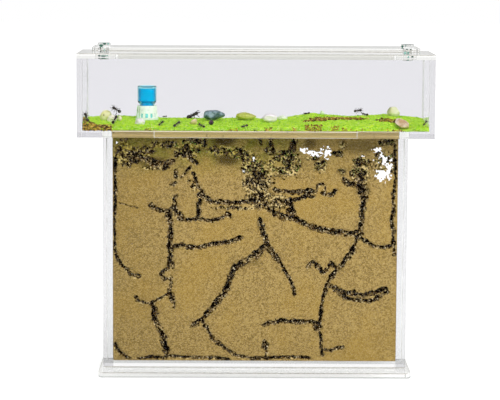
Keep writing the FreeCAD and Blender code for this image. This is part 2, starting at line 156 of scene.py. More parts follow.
def lathe(profile, place):
    # spins (radius, height) points about Z; a radius of 0 closes a pole
    bpy.ops.mesh.primitive_plane_add(size=mm)
    piece = bpy.context.object
    bpy.ops.object.mode_set(mode="EDIT")
    bpy.ops.mesh.select_mode(type="VERT")
    bpy.ops.mesh.select_all(action="SELECT")
    bpy.ops.mesh.merge(type="CENTER")
    bpy.ops.transform.translate(value=(profile[0][0] * mm, 0, profile[0][1] * mm))
    for (r, z), (nextR, nextZ) in zip(profile, profile[1:]):
        step = ((nextR - r) * mm, 0, (nextZ - z) * mm)
        bpy.ops.mesh.extrude_region_move(TRANSFORM_OT_translate={"value": step})
    bpy.ops.mesh.select_all(action="SELECT")
    bpy.ops.mesh.spin(steps=64, angle=2 * math.pi, center=(0, 0, 0), axis=(0, 0, 1))
    bpy.ops.object.mode_set(mode="OBJECT")
    fixNormals(piece, 2e-6)
    piece.location = (place[0] * mm, place[1] * mm, 0)
    settle(piece)
    return piece


def blob(place, radii, tilt=0.0):
    bpy.ops.mesh.primitive_uv_sphere_add(segments=12, ring_count=8, radius=1, location=place,
                                         rotation=(0, math.radians(tilt), 0))
    bpy.context.object.scale = radii
    return bpy.context.object


def patchy(x, y, size, seed):
    # smooth noise from 0 to 1, its patches about size across
    table = np.random.default_rng(seed).random((256, 256))
    u, v = np.asarray(x) / size + 900.37, np.asarray(y) / size + 900.61
    i, j = np.floor(u).astype(int), np.floor(v).astype(int)
    s, t = smooth(u - i), smooth(v - j)
    i, j, iNext, jNext = i % 256, j % 256, (i + 1) % 256, (j + 1) % 256
    low = table[i, j] * (1 - s) + table[iNext, j] * s
    high = table[i, jNext] * (1 - s) + table[iNext, jNext] * s
    return low * (1 - t) + high * t


def smooth(share):
    share = np.clip(share, 0, 1)
    return share * share * (3 - 2 * share)


# small helpers for materials; a vector that isn't named is the piece's own coordinates

class Maker:
    def __init__(self, tree, place=None):
        self.tree, self.place = tree, place

    def give(self, socket, value):
        if isinstance(value, bpy.types.NodeSocket):
            self.tree.links.new(value, socket)
        elif isinstance(value, tuple) and len(value) == 3 and socket.type == "RGBA":
            socket.default_value = (*value, 1)
        else:
            socket.default_value = value

    def add(self, kind, inputs=None, **settings):
        node = self.tree.nodes.new("ShaderNode" + kind)
        for key, value in settings.items():
            setattr(node, key, value)
        for key, value in (inputs or {}).items():
            self.give(node.inputs[key], value)
        return node

    def calc(self, operation, a, b=0.0, clamp=False):
        return self.add("Math", {0: a, 1: b}, operation=operation, use_clamp=clamp).outputs[0]

    def times(self, product, *values):
        for value in values:
            product = self.calc("MULTIPLY", product, value)
        return product

    def mix(self, share, low, high, blend="MIX"):
        return self.add("Mix", {0: share, 6: low, 7: high}, data_type="RGBA", blend_type=blend).outputs[2]

    def fade(self, value, low, high, start=0.0, end=1.0):  # turns low..high into start..end
        inputs = {"Value": value, "From Min": low, "From Max": high, "To Min": start, "To Max": end}
        return self.add("MapRange", inputs, interpolation_type="SMOOTHSTEP").outputs[0]

    def rest(self, share):
        return self.fade(share, 0, 1, 1, 0)

    def noise(self, perMetre, detail=3.0, roughness=0.5, vector=None):
        inputs = {"Vector": vector or self.place, "Scale": perMetre, "Detail": detail, "Roughness": roughness}
        return self.add("TexNoise", inputs).outputs["Fac"]

    def stretched(self, scale, turn=(0, 0, 0)):
        inputs = {"Vector": self.place, "Rotation": turn, "Scale": (1, 1, scale)}
        return self.add("Mapping", inputs).outputs[0]

    def blend(self, share, first, second):
        return self.add("MixShader", {0: share, 1: first.outputs[0], 2: second.outputs[0]})

    def surface(self, node, output="Material Output"):
        self.give(self.tree.nodes[output].inputs["Surface"], node.outputs[0])


class Finish(Maker):
    def __init__(self, name, values):
        self.material = bpy.data.materials.new(name)
        self.material.use_nodes = True
        super().__init__(self.material.node_tree)
        self.shader = self.tree.nodes["Principled BSDF"]
        self.place = self.add("TexCoord").outputs["Object"]
        for label, value in values.items():
            self.set(label, value)

    def set(self, label, value):
        self.give(self.shader.inputs[label], value)

    def bump(self, height, distance, strength=1.0):
        inputs = {"Height": height, "Distance": distance, "Strength": strength}
        self.set("Normal", self.add("Bump", inputs).outputs[0])

    def ramp(self, value, stops):
        node = self.add("ValToRGB", {"Fac": value})
        marks = node.color_ramp.elements
        while len(marks) < len(stops):
            marks.new(0.5)
        for mark, (place, color) in zip(marks, stops):
            mark.position = place
            mark.color = (*color, 1)
        return node.outputs[0]

    def axis(self, name):
        return self.add("SeparateXYZ", {0: self.place}).outputs[name]

    def kept(self, name):
        return self.add("Attribute", attribute_name=name).outputs["Fac"]

    def facing(self, blend=0.5):
        return self.add("LayerWeight", {"Blend": blend}).outputs["Facing"]

    def effect(self, group, inputs):
        return self.add("Group", {"Vector": self.place, **inputs}, node_tree=group).outputs

    def lightThrough(self, color, node=None):  # shadow rays pass, tinted
        clear = self.add("BsdfTransparent", {"Color": color})
        shadow = self.add("LightPath").outputs["Is Shadow Ray"]
        self.surface(self.blend(shadow, node or self.shader, clear))


class Effect(Maker):  # a node group that several materials share
    def __init__(self, name, takes, gives):
        group = bpy.data.node_groups.new(name, "ShaderNodeTree")
        for label, value in {"Vector": None, **takes}.items():
            kind = "Vector" if value is None else "Color" if isinstance(value, tuple) else "Float"
            socket = group.interface.new_socket(name=label, in_out="INPUT", socket_type="NodeSocket" + kind)
            if value is not None:
                socket.default_value = value
        for label in gives:
            kind = "Color" if label == "Color" else "Float"
            group.interface.new_socket(name=label, in_out="OUTPUT", socket_type="NodeSocket" + kind)
        self.take = group.nodes.new("NodeGroupInput").outputs
        self.leave = group.nodes.new("NodeGroupOutput").inputs
        super().__init__(group, self.take["Vector"])

    def out(self, label, value):
        self.give(self.leave[label], value)


def grainsGroup():
    # packed grains: each has its own shade between Dark and Light, in soft larger patches
    make = Effect("grains", {"PerMetre": 2000.0, "Dark": (0.2, 0.14, 0.06, 1), "Light": (0.5, 0.38, 0.17, 1),
                             "Patchiness": 0.5}, ["Color", "Height", "Shade"])
    take = make.take
    cells = make.add("TexVoronoi", {"Vector": make.place, "Scale": take["PerMetre"]})
    shade = make.add("SeparateColor", {0: cells.outputs["Color"]}).outputs[0]
    patch = make.fade(make.noise(make.times(take["PerMetre"], 0.17), 4.0, 0.6), 0.3, 0.7)
    share = make.add("Mix", {0: take["Patchiness"], 2: shade, 3: patch}, data_type="FLOAT").outputs[0]
    make.out("Color", make.mix(share, take["Dark"], take["Light"]))
    make.out("Shade", share)
    rounded = make.calc("SUBTRACT", 1.0, cells.outputs["Distance"])
    make.out("Height", make.calc("MULTIPLY_ADD", rounded, 0.7, clamp=True))
    return make.tree


def wipesGroup():
    # faint wipe marks and dust on clear sheet
    make = Effect("wipes", {"Amount": 0.02}, ["Roughness", "Height"])
    streaks = make.noise(900.0, 3.0, 0.65, make.stretched(0.12, (0, 0.5, 0.3)))
    marks = make.times(make.fade(streaks, 0.52, 0.7), make.fade(make.noise(45.0, 2.0), 0.4, 0.65))
    make.out("Roughness", make.times(marks, make.take["Amount"]))
    make.out("Height", marks)
    return make.tree


def stoneGroup():
    # a stone's body colour, clouds of a second colour, small flecks and fine pits
    make = Effect("stoneSkin", {"Body": (0.5, 0.5, 0.5, 1), "Cloud": (0.3, 0.3, 0.3, 1),
                                "Fleck": (0.8, 0.8, 0.8, 1), "CloudsPerMetre": 350.0, "FleckShare": 0.2},
                  ["Color", "Height", "Roughness"])
    take = make.take
    clouds = make.noise(take["CloudsPerMetre"], 5.0, 0.6)
    body = make.mix(make.fade(clouds, 0.38, 0.66), take["Body"], take["Cloud"])
    fine = make.noise(make.times(take["CloudsPerMetre"], 5.0), 3.0, 0.7)
    edge = make.calc("SUBTRACT", 0.78, make.times(take["FleckShare"], 0.5))
    inputs = {"Value": fine, "From Min": edge, "From Max": make.calc("ADD", edge, 0.06)}
    fleck = make.add("MapRange", inputs).outputs[0]
    make.out("Color", make.mix(fleck, body, take["Fleck"]))
    make.out("Height", make.calc("MULTIPLY_ADD", fine, 0.5))
    make.out("Roughness", make.fade(fine, 0.2, 0.8, 0.35, 0.75))
    return make.tree


grains, wipes, stoneSkin = grainsGroup(), wipesGroup(), stoneGroup()


# studio: white all round, one soft lamp above the front right

studio = {"room": 0.98, "mirrored": (0.74, 0.74, 0.73), "lampPlace": (0.5, -1.05, 1.0), "lampPower": 9.2,
          "lampAim": (0, 0, 0.1), "lampSize": 0.9, "floorColor": (0.82, 0.82, 0.82), "floorGlow": 0.34}


def seenByLens(make):
    # 1 for the camera, for reflections and for what is seen through clear sheet
    path = make.add("LightPath").outputs
    seen = make.calc("MAXIMUM", path["Is Camera Ray"], path["Is Glossy Ray"])
    return make.calc("MAXIMUM", seen, path["Is Transmission Ray"])


def buildStudio():
    scene.world = bpy.data.worlds.new("studio")
    scene.world.use_nodes = True
    make = Maker(scene.world.node_tree)
    lit = make.add("Background", {"Color": (1, 1, 1), "Strength": studio["room"]})
    path = make.add("LightPath").outputs
    mirrored = make.times(path["Is Glossy Ray"], make.rest(path["Is Transmission Ray"]))
    wall = make.mix(mirrored, (1, 1, 1), studio["mirrored"])  # polished faces mirror a slightly greyer wall
    seen = make.add("Background", {"Color": wall, "Strength": 1.0})
    make.surface(make.blend(seenByLens(make), lit, seen), "World Output")

    bpy.ops.object.light_add(type="AREA", location=studio["lampPlace"])
    lamp = bpy.context.object
    lamp.data.size = studio["lampSize"]
    lamp.data.energy = studio["lampPower"]
    lamp.rotation_euler = (Vector(studio["lampAim"]) - lamp.location).to_track_quat("-Z", "Y").to_euler()

    bpy.ops.mesh.primitive_plane_add(size=12, location=(0, 0, -0.0002))
    floor = bpy.context.object
    floor.name = "floor"
    look = Finish("studioPaper", {"Base Color": studio["floorColor"], "Roughness": 0.9})
    look.set("Emission Color", (1, 1, 1))
    look.set("Emission Strength", look.times(seenByLens(look), studio["floorGlow"]))
    look.bump(look.noise(900.0), 0.00005, 0.3)
    dress(floor, look.material)


# clear sheet: box, lid, nest panels and strips; shine is the share of the full reflection that its faces keep

sheets = {
    "baseAcrylic": {"tint": (0.885, 0.885, 0.875), "marks": 0.05, "shine": 0.3, "on": ["base_plate"]},
    "nestAcrylic": {"tint": (0.985, 0.985, 0.985), "marks": 0.02, "shine": 0.06,
                    "on": ["nest_front_panel", "nest_rear_panel", "nest_foot_strip", "arena_floor"]},
    "stripAcrylic": {"tint": (0.72, 0.72, 0.73), "marks": 0.03, "shine": 0.25,
                     "on": ["nest_left_strip", "nest_right_strip"]},
    "boxAcrylic": {"tint": (0.836, 0.833, 0.853), "marks": 0.03, "shine": 0.12,
                   "on": ["arena_front_wall", "arena_rear_wall"]},
    "endAcrylic": {"tint": (0.95, 0.95, 0.94), "marks": 0.03, "shine": 0.12,
                   "on": ["arena_left_wall", "arena_right_wall"]},
    "lidAcrylic": {"tint": (0.885, 0.885, 0.868), "marks": 0.05, "shine": 0.3,
                   "on": ["arena_top_frame", "lid_plate", "lid_locating_plate"]},
    "plugAcrylic": {"tint": (0.985, 0.99, 0.988), "marks": 0.05, "shine": 0.2, "bend": 1.06,
                    "on": ["vent_plug_left", "vent_plug_right"]},
}
# painted light: light caught inside a sheet for many turns ends in a pale glow, so that it stays pale as it
# does in clear acrylic
sheetLight = {"bend": 1.49, "color": (0.93, 0.95, 0.94), "glow": 0.7, "turns": 2.5, "gap": 0.05}


def clearSheet(name, sheet):
    look = Finish(name, {"Base Color": sheet["tint"], "IOR": sheet.get("bend", sheetLight["bend"]),
                         "Transmission Weight": 1.0, "Specular Tint": (sheet["shine"],) * 3})
    marks = look.effect(wipes, {"Amount": sheet["marks"]})
    look.set("Roughness", marks["Roughness"])
    look.bump(marks["Height"], 0.000004, 0.5)
    # painted light: an even pale glow once a ray has turned inside the sheet more than a few times
    caught = look.add("Emission", {"Color": sheetLight["color"], "Strength": sheetLight["glow"]})
    depth = look.add("LightPath").outputs["Glossy Depth"]
    inside = look.blend(look.calc("GREATER_THAN", depth, sheetLight["turns"]), look.shader, caught)
    look.lightThrough((1, 1, 1), inside)
    return look.material


def dressSheets():
    for name, sheet in sheets.items():
        material = clearSheet(name, sheet)
        for node in (nodes[label] for label in sheet["on"]):
            dress(node, material)
            weld = node.modifiers.new("Weld", "WELD")
            weld.merge_threshold = 1e-5
            shrink = node.modifiers.new("Glue gap", "DISPLACE")  # keeps touching sheets from sharing one face
            shrink.mid_level = 0
            shrink.strength = -sheetLight["gap"] * mm


# nest sand

slab = {"halfWidth": 80.85, "face": 5.85, "foot": 6.65, "top": 139.85, "surface": 136.0, "cell": 0.4,
        "edge": 0.45, "core": 0.5, "wander": 0.4, "bottom": 1.1, "slot": 0.27, "deepest": 3.6, "pit": 1.9,
        "pitSize": 0.95, "triangles": 190000, "seed": 21, "backSeed": 51}
viewShift = {"across": 0.0098, "from": -10.4, "down": -1.3}  # lines up a hole's far rim with its near one

# galleries: width, then (x, depth below the surface) points
galleries = [
    (2.4, [(-45.6, 34.6), (-46.9, 37.2), (-45.4, 39.9), (-47.6, 43.7), (-48.3, 47.2)]),
    (3, [(-48.3, 47.2), (-48.1, 55.4), (-48.8, 63), (-48.2, 71.5)]),
    (3.2, [(-48.2, 65.7), (-48.1, 71), (-48.2, 75.7)]),
    (1.6, [(-48.2, 75.7), (-52, 77.8), (-53.6, 80.1), (-51.1, 82.5), (-47.9, 82.2)]),
    (2, [(-47.9, 82.2), (-47.9, 85.7), (-48.8, 89.3), (-47.6, 91)]),
    (3.6, [(-47.6, 91.6), (-46.7, 94.6)]),
    (1, [(-46.3, 95.7), (-46.3, 99)]),
    (2, [(-59.4, 40.3), (-56.6, 42.2), (-53.4, 43.6), (-50, 44)]),
    (2.6, [(-59.2, 40.3), (-58.6, 40.9)]),
    (4.2, [(-44.4, 43.7), (-42.7, 46.6)]),
    (1.7, [(-41.8, 47.7), (-37.8, 48.3), (-33.1, 47.4), (-25.6, 48.6), (-19.8, 47.5), (-16.3, 45.4)]),
    (2.4, [(-16, 45.4), (-14.2, 46)]),
    (1.8, [(-31.1, 37.2), (-32.3, 40.1), (-31.4, 43), (-32.8, 46.8)]),
    (1.8, [(-35.4, 21.7), (-34, 24.9), (-32.7, 28.4), (-30.2, 32.2)]),
    (3, [(-31.1, 33.4), (-27.9, 36.1), (-25, 38.2)]),
    (2.3, [(-25, 38.2), (-19.8, 38.2), (-12.8, 38.6), (-7, 37.7), (1.1, 37)]),
    (1.2, [(-41.9, 23.7), (-40.1, 21.2), (-36.9, 18.5)]),
    (2, [(-44.9, 20.3), (-45.2, 22.6), (-44.6, 24.4)]),
    (2, [(-47.1, 28.8), (-45, 27.3)]),
    (0.35, [(-77.2, 38.5), (-72, 40.3), (-66.2, 41.5)]),
    (3.8, [(-68.2, 12), (-65.3, 12.4), (-62.7, 13.7),
           (-59.2, 14.8), (-56.6, 16), (-51.1, 16), (-47.4, 14.4)]),
    (2.8, [(-70.8, 14.9), (-67.9, 14.9)]),
    (1.8, [(-44.8, 9.8), (-41.9, 10.7), (-38.4, 13), (-35.8, 15), (-32.9, 15.9)]),
    (2.2, [(-46.5, 63.3), (-41.8, 63), (-33.1, 63.8),
           (-24.4, 62.3), (-14.5, 61.1), (-11, 59.9), (-7.8, 58.4)]),
    (3.4, [(5.8, 40.2), (10.4, 44.1), (16.3, 46.4)]),
    (3.2, [(16.3, 46.4), (22.1, 47), (29.7, 51), (37.8, 53.6), (46.6, 55.3), (55.3, 56), (60, 54.9)]),
    (2.6, [(20.2, 36.9), (20.6, 40.2), (21, 43.7)]),
    (3.6, [(19.4, 43.4), (21.2, 44.1)]),
    (2.4, [(11.2, 30.9), (14.4, 31.7), (20.2, 32.6), (27.2, 31.7), (33.9, 31.9)]),
    (2, [(22.6, 36.4), (26.1, 35.6), (29.5, 34), (33, 35.1)]),
    (1.2, [(35, 31), (35.6, 28.7), (37.6, 27.5), (39.7, 29.3), (39.8, 31.3)]),
    (2, [(38.5, 32.5), (41.4, 33.9), (44.3, 32.8), (45.5, 31)]),
    (3.2, [(50.9, 25.7), (53.6, 27.5), (55.9, 27.7)]),
    (1.6, [(50.1, 24), (51.5, 25.1)]),
    (1.4, [(56.7, 25.1), (59.1, 24.8)]),
    (5, [(60, 29.2), (62, 31.5)]),
    (4.2, [(61.2, 31.5), (61.5, 36.2)]),
    (3.2, [(61.5, 36.2), (60.9, 40.9), (60.7, 46.7), (60.2, 52), (59.7, 56.7)]),
    (2.2, [(59.1, 57.3), (57.4, 60.8), (54.8, 66.1), (52, 70.4)]),
    (1.6, [(60.3, 58.7), (64.7, 61.5), (68.8, 63.4), (73.4, 63.7), (77.8, 63.1)]),
    (3.2, [(2.9, 48.4), (3.8, 52.2), (5.3, 57.5), (6.8, 61.6)]),
    (3, [(6.8, 62.8), (2.4, 65.4), (-2.8, 69.3)]),
    (2.4, [(7.1, 62.2), (10.3, 66.6), (13.8, 71.1)]),
    (0.9, [(78.2, 2.3), (79.5, 13.9), (79.1, 29.1)]),
    (1.7, [(79.1, 29.1), (78.1, 37.3), (79, 42.5), (77.6, 49), (78.9, 57.8), (79.2, 66.9)]),
    (2.4, [(56.3, 65.9), (52, 70.6), (48.8, 75.3), (43.9, 80.7)]),
    (1.5, [(43.3, 81.5), (41, 85.1), (39.4, 90.1), (38.2, 97.8), (37.4, 105.5), (37.2, 110.2)]),
    (1.9, [(30, 74.7), (32.2, 73.1), (34.5, 72.5), (37.5, 76.5),
           (38.6, 79.2), (41, 76.5), (43.5, 72.7), (46.8, 75.8)]),
    (2.8, [(75.5, 88.3), (67.3, 90.3), (61.5, 91.2), (55.7, 90.1), (47.5, 88.9), (43.4, 86.2)]),
    (1.8, [(48.1, 90.1), (52.8, 93.6), (59.2, 94.1), (65.6, 94.7), (71.5, 92.3), (76.1, 88.9)]),
    (2, [(5, 109.3), (9.1, 107.5), (14.9, 106.1), (23.7, 106.7), (32.5, 106.7), (36, 108)]),
    (3.2, [(34.8, 108.4), (36, 110.2)]),
    (1, [(37.2, 110.8), (37.8, 116.7), (38, 121.5), (39.1, 125.6)]),
    (1.6, [(38.5, 124.4), (39.1, 125.9)]),
    (1.7, [(39.6, 122.9), (44.3, 123.3), (50.7, 121.7)]),
    (1.4, [(5.3, 118), (7.1, 119.8), (6.9, 126.3)]),
    (1.4, [(5.3, 118), (4.8, 121.6)]),
    (2, [(7.7, 65.5), (11.8, 70.6), (15.9, 74.3), (19.4, 81.3), (22.1, 86.6), (22.7, 91.3)]),
    (1.5, [(-2.5, 128), (8, 128), (16.2, 127.5), (25.6, 127.2), (31.2, 128)]),
    (1.5, [(-80.2, 65.8), (-77.9, 71.7), (-74.4, 76.4), (-70.9, 79.6), (-68, 80.6)]),
    (2.2, [(-68, 80.5), (-66.4, 80.5)]),
    (1.4, [(-49.6, 91.3), (-53.4, 93.4), (-58.7, 95.9)]),
    (1.5, [(-67.9, 93.2), (-66.9, 95.8), (-63.4, 95.8), (-59, 96.3)]),
    (2.8, [(-58.1, 96.7), (-57.5, 101.1), (-56.9, 105.8), (-54, 111.7), (-51.7, 118.9), (-49.9, 126.6)]),
    (1.3, [(-66.3, 128.4), (-60.4, 127.7), (-51.1, 127.8)]),
    (1.2, [(-47.6, 126.9), (-38.8, 127.4), (-30, 128), (-22.4, 127.6), (-14.5, 128.9)]),
    (2, [(-80, 119.9), (-78.9, 122.8), (-76.8, 124.9), (-72.4, 127.8)]),
    (3.4, [(2.9, 67.3), (-6.9, 72.6), (-12.1, 76.1)]),
    (2.8, [(-12.7, 76.4), (-14.7, 83.2), (-17, 90.3), (-22.5, 96.8), (-28.3, 103.7)]),
    (2.2, [(-28.3, 103.7), (-32.4, 107.5), (-35.9, 109.6)]),
    (1.6, [(-29.5, 106.9), (-26.5, 112.2), (-24.2, 117)]),
    (1.3, [(-24.2, 117), (-18.3, 121.7), (-9.5, 126.4), (3.2, 128.4)]),
    (1.7, [(-79.6, 14), (-79.8, 50), (-79.8, 67)]),
    (2.6, [(8.9, 0.5), (8.9, 6)]), (3.2, [(6.5, 8.4), (10.5, 8.2)]), (3.4, [(22, 0.5), (21.2, 7.5)]),
    (1.8, [(13, 9.2), (19.6, 9.4)]), (1.7, [(2.2, 0.5), (2.4, 4.5)]), (2.4, [(44.8, 9.4), (48.6, 10.4)]),
]

# crumbled sand: x, depth, half width, half height, how broken
crumbled = [
    (-74.3, 11.1, 6.3, 6.3, 1), (-74.9, 3, 2.4, 2.4, 1), (-62.7, 8.8, 5.6, 3.2, 1), (-51.1, 5.4, 8.5, 2.2, 1),
    (-57.5, 18.6, 7.5, 1.4, 0.8), (-38.4, 8.6, 7, 5.7, 1), (-32.6, 3.4, 7, 3.4, 1), (-17, 8.2, 5, 2, 1),
    (-19.9, 8.6, 7.5, 2.9, 1), (-8.3, 10.3, 6.9, 3.4, 1), (-2.5, 16, 5.2, 6.3, 1), (-3, 27.1, 4.6, 6.3, 1),
    (16.6, 16, 10.3, 8, 0.95), (2.2, 24.8, 7.5, 8.6, 1), (2.8, 35.9, 8, 5.7, 1), (13.3, 37.6, 6.3, 4, 1),
    (36.9, 17, 4, 3.6, 0.85), (49.4, 20.2, 2.9, 2.6, 0.55), (59.6, 19.9, 5.2, 9.2, 1), (74.5, 3.5, 5.7, 2, 1),
    (49.6, 5.1, 2.6, 3.2, 0.6), (79, 14, 1.2, 12, 0.9), (72, 15, 7, 10, 0.5), (-38.5, 25, 2, 2, 0.8),
    (-35, 29.5, 1.6, 3, 0.8), (-31.6, 35, 1.6, 3, 0.8), (-11, 41.3, 13, 1.2, 0.8), (-49, 46, 3, 3, 0.8),
    (32, 12.5, 5, 2, 0.6),
]
calmPlaces = [(-52, 11.3, 6.6, 3.3), (-65.6, 3.2, 7.5, 1.7), (-50.6, 2.4, 5.7, 1.3), (-25.4, 3.7, 2.9, 1.8),
              (-6, 3.4, 6.3, 2.2), (-0.5, 5.6, 3.4, 4.2), (14.8, 4.9, 4.3, 3.6), (12.9, 16.3, 3.4, 1.8),
              (-18.5, 26, 10, 10.5), (-40, 24, 3, 2)]
# darker patches of sand: x, depth, half width, half height, how dark
darkPatches = [(-15.8, 13.6, 6.6, 3.2, 0.9), (-32.6, 5.7, 4.3, 3.2, 0.9), (-17.5, 3.2, 6, 2.8, 1),
              (-74.9, 3, 1.7, 1.7, 0.9), (-57.5, 17.4, 7.5, 1.8, 0.8), (-59, 14.6, 8.5, 2.2, 0.85),
              (31.3, 4.6, 3.6, 2.8, 0.75), (49.6, 5.1, 2.8, 3.4, 0.7), (59.4, 5.9, 10, 3.6, 0.55),
              (61.5, 31, 4, 3.5, 0.9), (2.6, 50, 1.4, 3.6, 0.7), (-5, 72.4, 9, 2.4, 0.4),
              (37, 16, 3.4, 3.4, 0.6), (49.4, 20.2, 2.6, 2.4, 0.6), (20.3, 43.6, 2.2, 1.6, 0.8)]
clearHoles = [(27.4, 8.1, 2.3, 1.6), (30.4, 9.6, 2.8, 1.6), (34.2, 10.4, 3.4, 1.4), (37.4, 9.6, 2.4, 1.3),
              (40.6, 9.2, 3.3, 3.3), (69.2, 7.9, 2.6, 1.9), (71.3, 10.4, 1.7, 2.0), (73.5, 13.3, 3.8, 2.6),
              (75.6, 17.2, 2.0, 3.2), (72.3, 22.1, 4.1, 3.6), (75.3, 21, 2.4, 2.0), (60.6, 11.4, 1, 0.6),
              (66.9, 13.4, 0.6, 0.7), (-79, 4.1, 1.1, 1.0), (-6.5, 20.4, 0.8, 0.8), (-1, 13.7, 0.8, 1.6)]


def ellipseShare(x, depth, place):  # 0 at its middle, 1 at its rim
    return np.hypot((x - place[0]) / place[2], (depth - place[1]) / place[3])


def distanceTo(path, x, depth):
    near = np.full(x.shape, 99.0)
    for (ax, ad), (bx, bd) in zip(path, path[1:]):
        length = (bx - ax) ** 2 + (bd - ad) ** 2
        along = np.clip(((x - ax) * (bx - ax) + (depth - ad) * (bd - ad)) / length, 0, 1)
        near = np.minimum(near, np.hypot(x - ax - along * (bx - ax), depth - ad - along * (bd - ad)))
    return near


def dugDepth(x, depth, seed):
    # how far the sand is dug back from the sheet at each point, and how broken it is there
    def patches(size, step):
        return patchy(x, depth, size, seed + step)

    movedX = x + 2 * slab["wander"] * (patches(5, 0) - 0.5) + 0.9 * (patches(1.2, 1) - 0.5)
    movedD = depth + 2 * slab["wander"] * (patches(5, 2) - 0.5) + 0.9 * (patches(1.2, 3) - 0.5)
    swell = 1 + 0.9 * (patches(2.4, 4) - 0.5)
    beads = 0.3 + 0.7 * smooth((patches(1.4, 9) - 0.3) / 0.2)
    slotSize = slab["slot"] * (0.25 + 1.5 * patches(4.5, 11))
    ragged = patches(3, 10)
    dug, broken = np.zeros_like(x), np.zeros_like(x)
    for width, path in galleries:
        near = distanceTo(path, movedX, movedD)
        share = smooth((slab["core"] * width * swell - near) / slab["edge"] + 0.5)
        dug = np.maximum(dug, share * beads * slab["bottom"])
        # a deeper slot runs along the upper side
        high = distanceTo(path, movedX + 0.07 * width, movedD + 0.14 * width)
        share = smooth((slotSize * width * swell + 0.12 - high) / slab["edge"] + 0.5)
        dug = np.maximum(dug, share * beads * min(1.4 + 0.9 * width, slab["deepest"]))
        rim = 0.5 * width + 0.2 + 0.4 * ragged
        broken = np.maximum(broken, 0.85 * np.clip(1.3 - near / rim, 0, 1) * min(1, width))
    for place in crumbled:
        share = np.clip(1.35 - ellipseShare(movedX, movedD, place), 0, 1)
        broken = np.maximum(broken, 1.1 * place[4] * share)
    for place in calmPlaces:
        broken *= smooth(ellipseShare(x, depth, place) * 2 - 1.2)
    pits = 0.65 * patches(slab["pitSize"], 5) + 0.35 * patches(2.8, 6)
    dug = np.maximum(dug, slab["pit"] * smooth((pits - 0.74 + 0.31 * broken) / 0.12) * smooth(broken * 4))
    return dug * smooth(depth / 0.6) + (0.16 * patches(0.9, 7) + 0.14 * patches(4, 8)), broken


def darkPatchShare(x, depth):
    damp = np.zeros_like(x)
    for place in darkPatches:
        damp = np.maximum(damp, place[4] * smooth(1.5 - ellipseShare(x, depth, place)))
    return damp


def openShare(x, depth):  # below 1 where light comes through the slab
    rim = np.full(x.shape, 9.0)
    for place in clearHoles:
        rim = np.minimum(rim, ellipseShare(x, depth, place))
    flecks = 0.9 * smooth((patchy(x, depth, 0.9, 73) - 0.62) / 0.1) * smooth(3 * rim - 0.8)
    return rim + 0.8 * (patchy(x, depth, 1.3, 71) - 0.5) + 0.5 * (patchy(x, depth, 0.7, 72) - 0.5) + flecks


def nestSand(material):
    wide, tall = 2 * slab["halfWidth"], slab["top"] - slab["foot"]
    piece = addGrid((0, -slab["face"], (slab["top"] + slab["foot"]) / 2), wide, tall,
                    round(wide / slab["cell"]), round(tall / slab["cell"]), upright=True)
    middles = rowsOf(piece.data.polygons, "center")
    bpy.ops.object.mode_set(mode="EDIT")
    bpy.ops.mesh.select_mode(type="FACE")
    bpy.ops.mesh.select_all(action="DESELECT")
    bpy.ops.object.mode_set(mode="OBJECT")
    piece.data.polygons.foreach_set("select", openShare(middles[:, 0], slab["surface"] - middles[:, 2]) < 1)
    bpy.ops.object.mode_set(mode="EDIT")
    bpy.ops.mesh.delete(type="FACE")
    bpy.ops.mesh.select_all(action="SELECT")
    bpy.ops.mesh.extrude_region_move(TRANSFORM_OT_translate={"value": (0, 2 * slab["face"] * mm, 0)})
    fixNormals(piece)

    spots = points(piece)
    x, depth = spots[:, 0].copy(), slab["surface"] - spots[:, 2]
    front = spots[:, 1] < 0
    dug, broken = dugDepth(x, depth, slab["seed"])
    backDug, backBroken = dugDepth(-x, depth, slab["backSeed"])
    inward = np.minimum(spots[:, 2] - slab["foot"], slab["top"] - spots[:, 2])
    inward = np.minimum(slab["halfWidth"] - abs(x), inward)
    dug = np.where(front, dug, backDug) * smooth(inward / 0.5)
    spots[:, 1] = np.where(front, dug - slab["face"], slab["face"] - dug)
    drift = np.where(front, 0, smooth(inward / 3))
    spots[:, 0] += drift * viewShift["across"] * (x - viewShift["from"])
    spots[:, 2] += drift * viewShift["down"]
    movePoints(piece, spots)
    keepValues(piece, "dug", dug)
    keepValues(piece, "broken", np.where(front, broken, backBroken))
    keepValues(piece, "damp", darkPatchShare(x, depth))
    fixNormals(piece)
    modify(piece, "DECIMATE", ratio=slab["triangles"] / (2.0 * len(piece.data.polygons)))
    finishPiece(piece, "nestSand", material, ["nest_sand"], angle=50)


crumbStops = [(0.0, (0.012, 0.008, 0.003)), (0.26, (0.03, 0.02, 0.007)), (0.4, (0.17, 0.12, 0.037)),
              (0.6, (0.4, 0.29, 0.1)), (0.85, (0.68, 0.54, 0.25))]


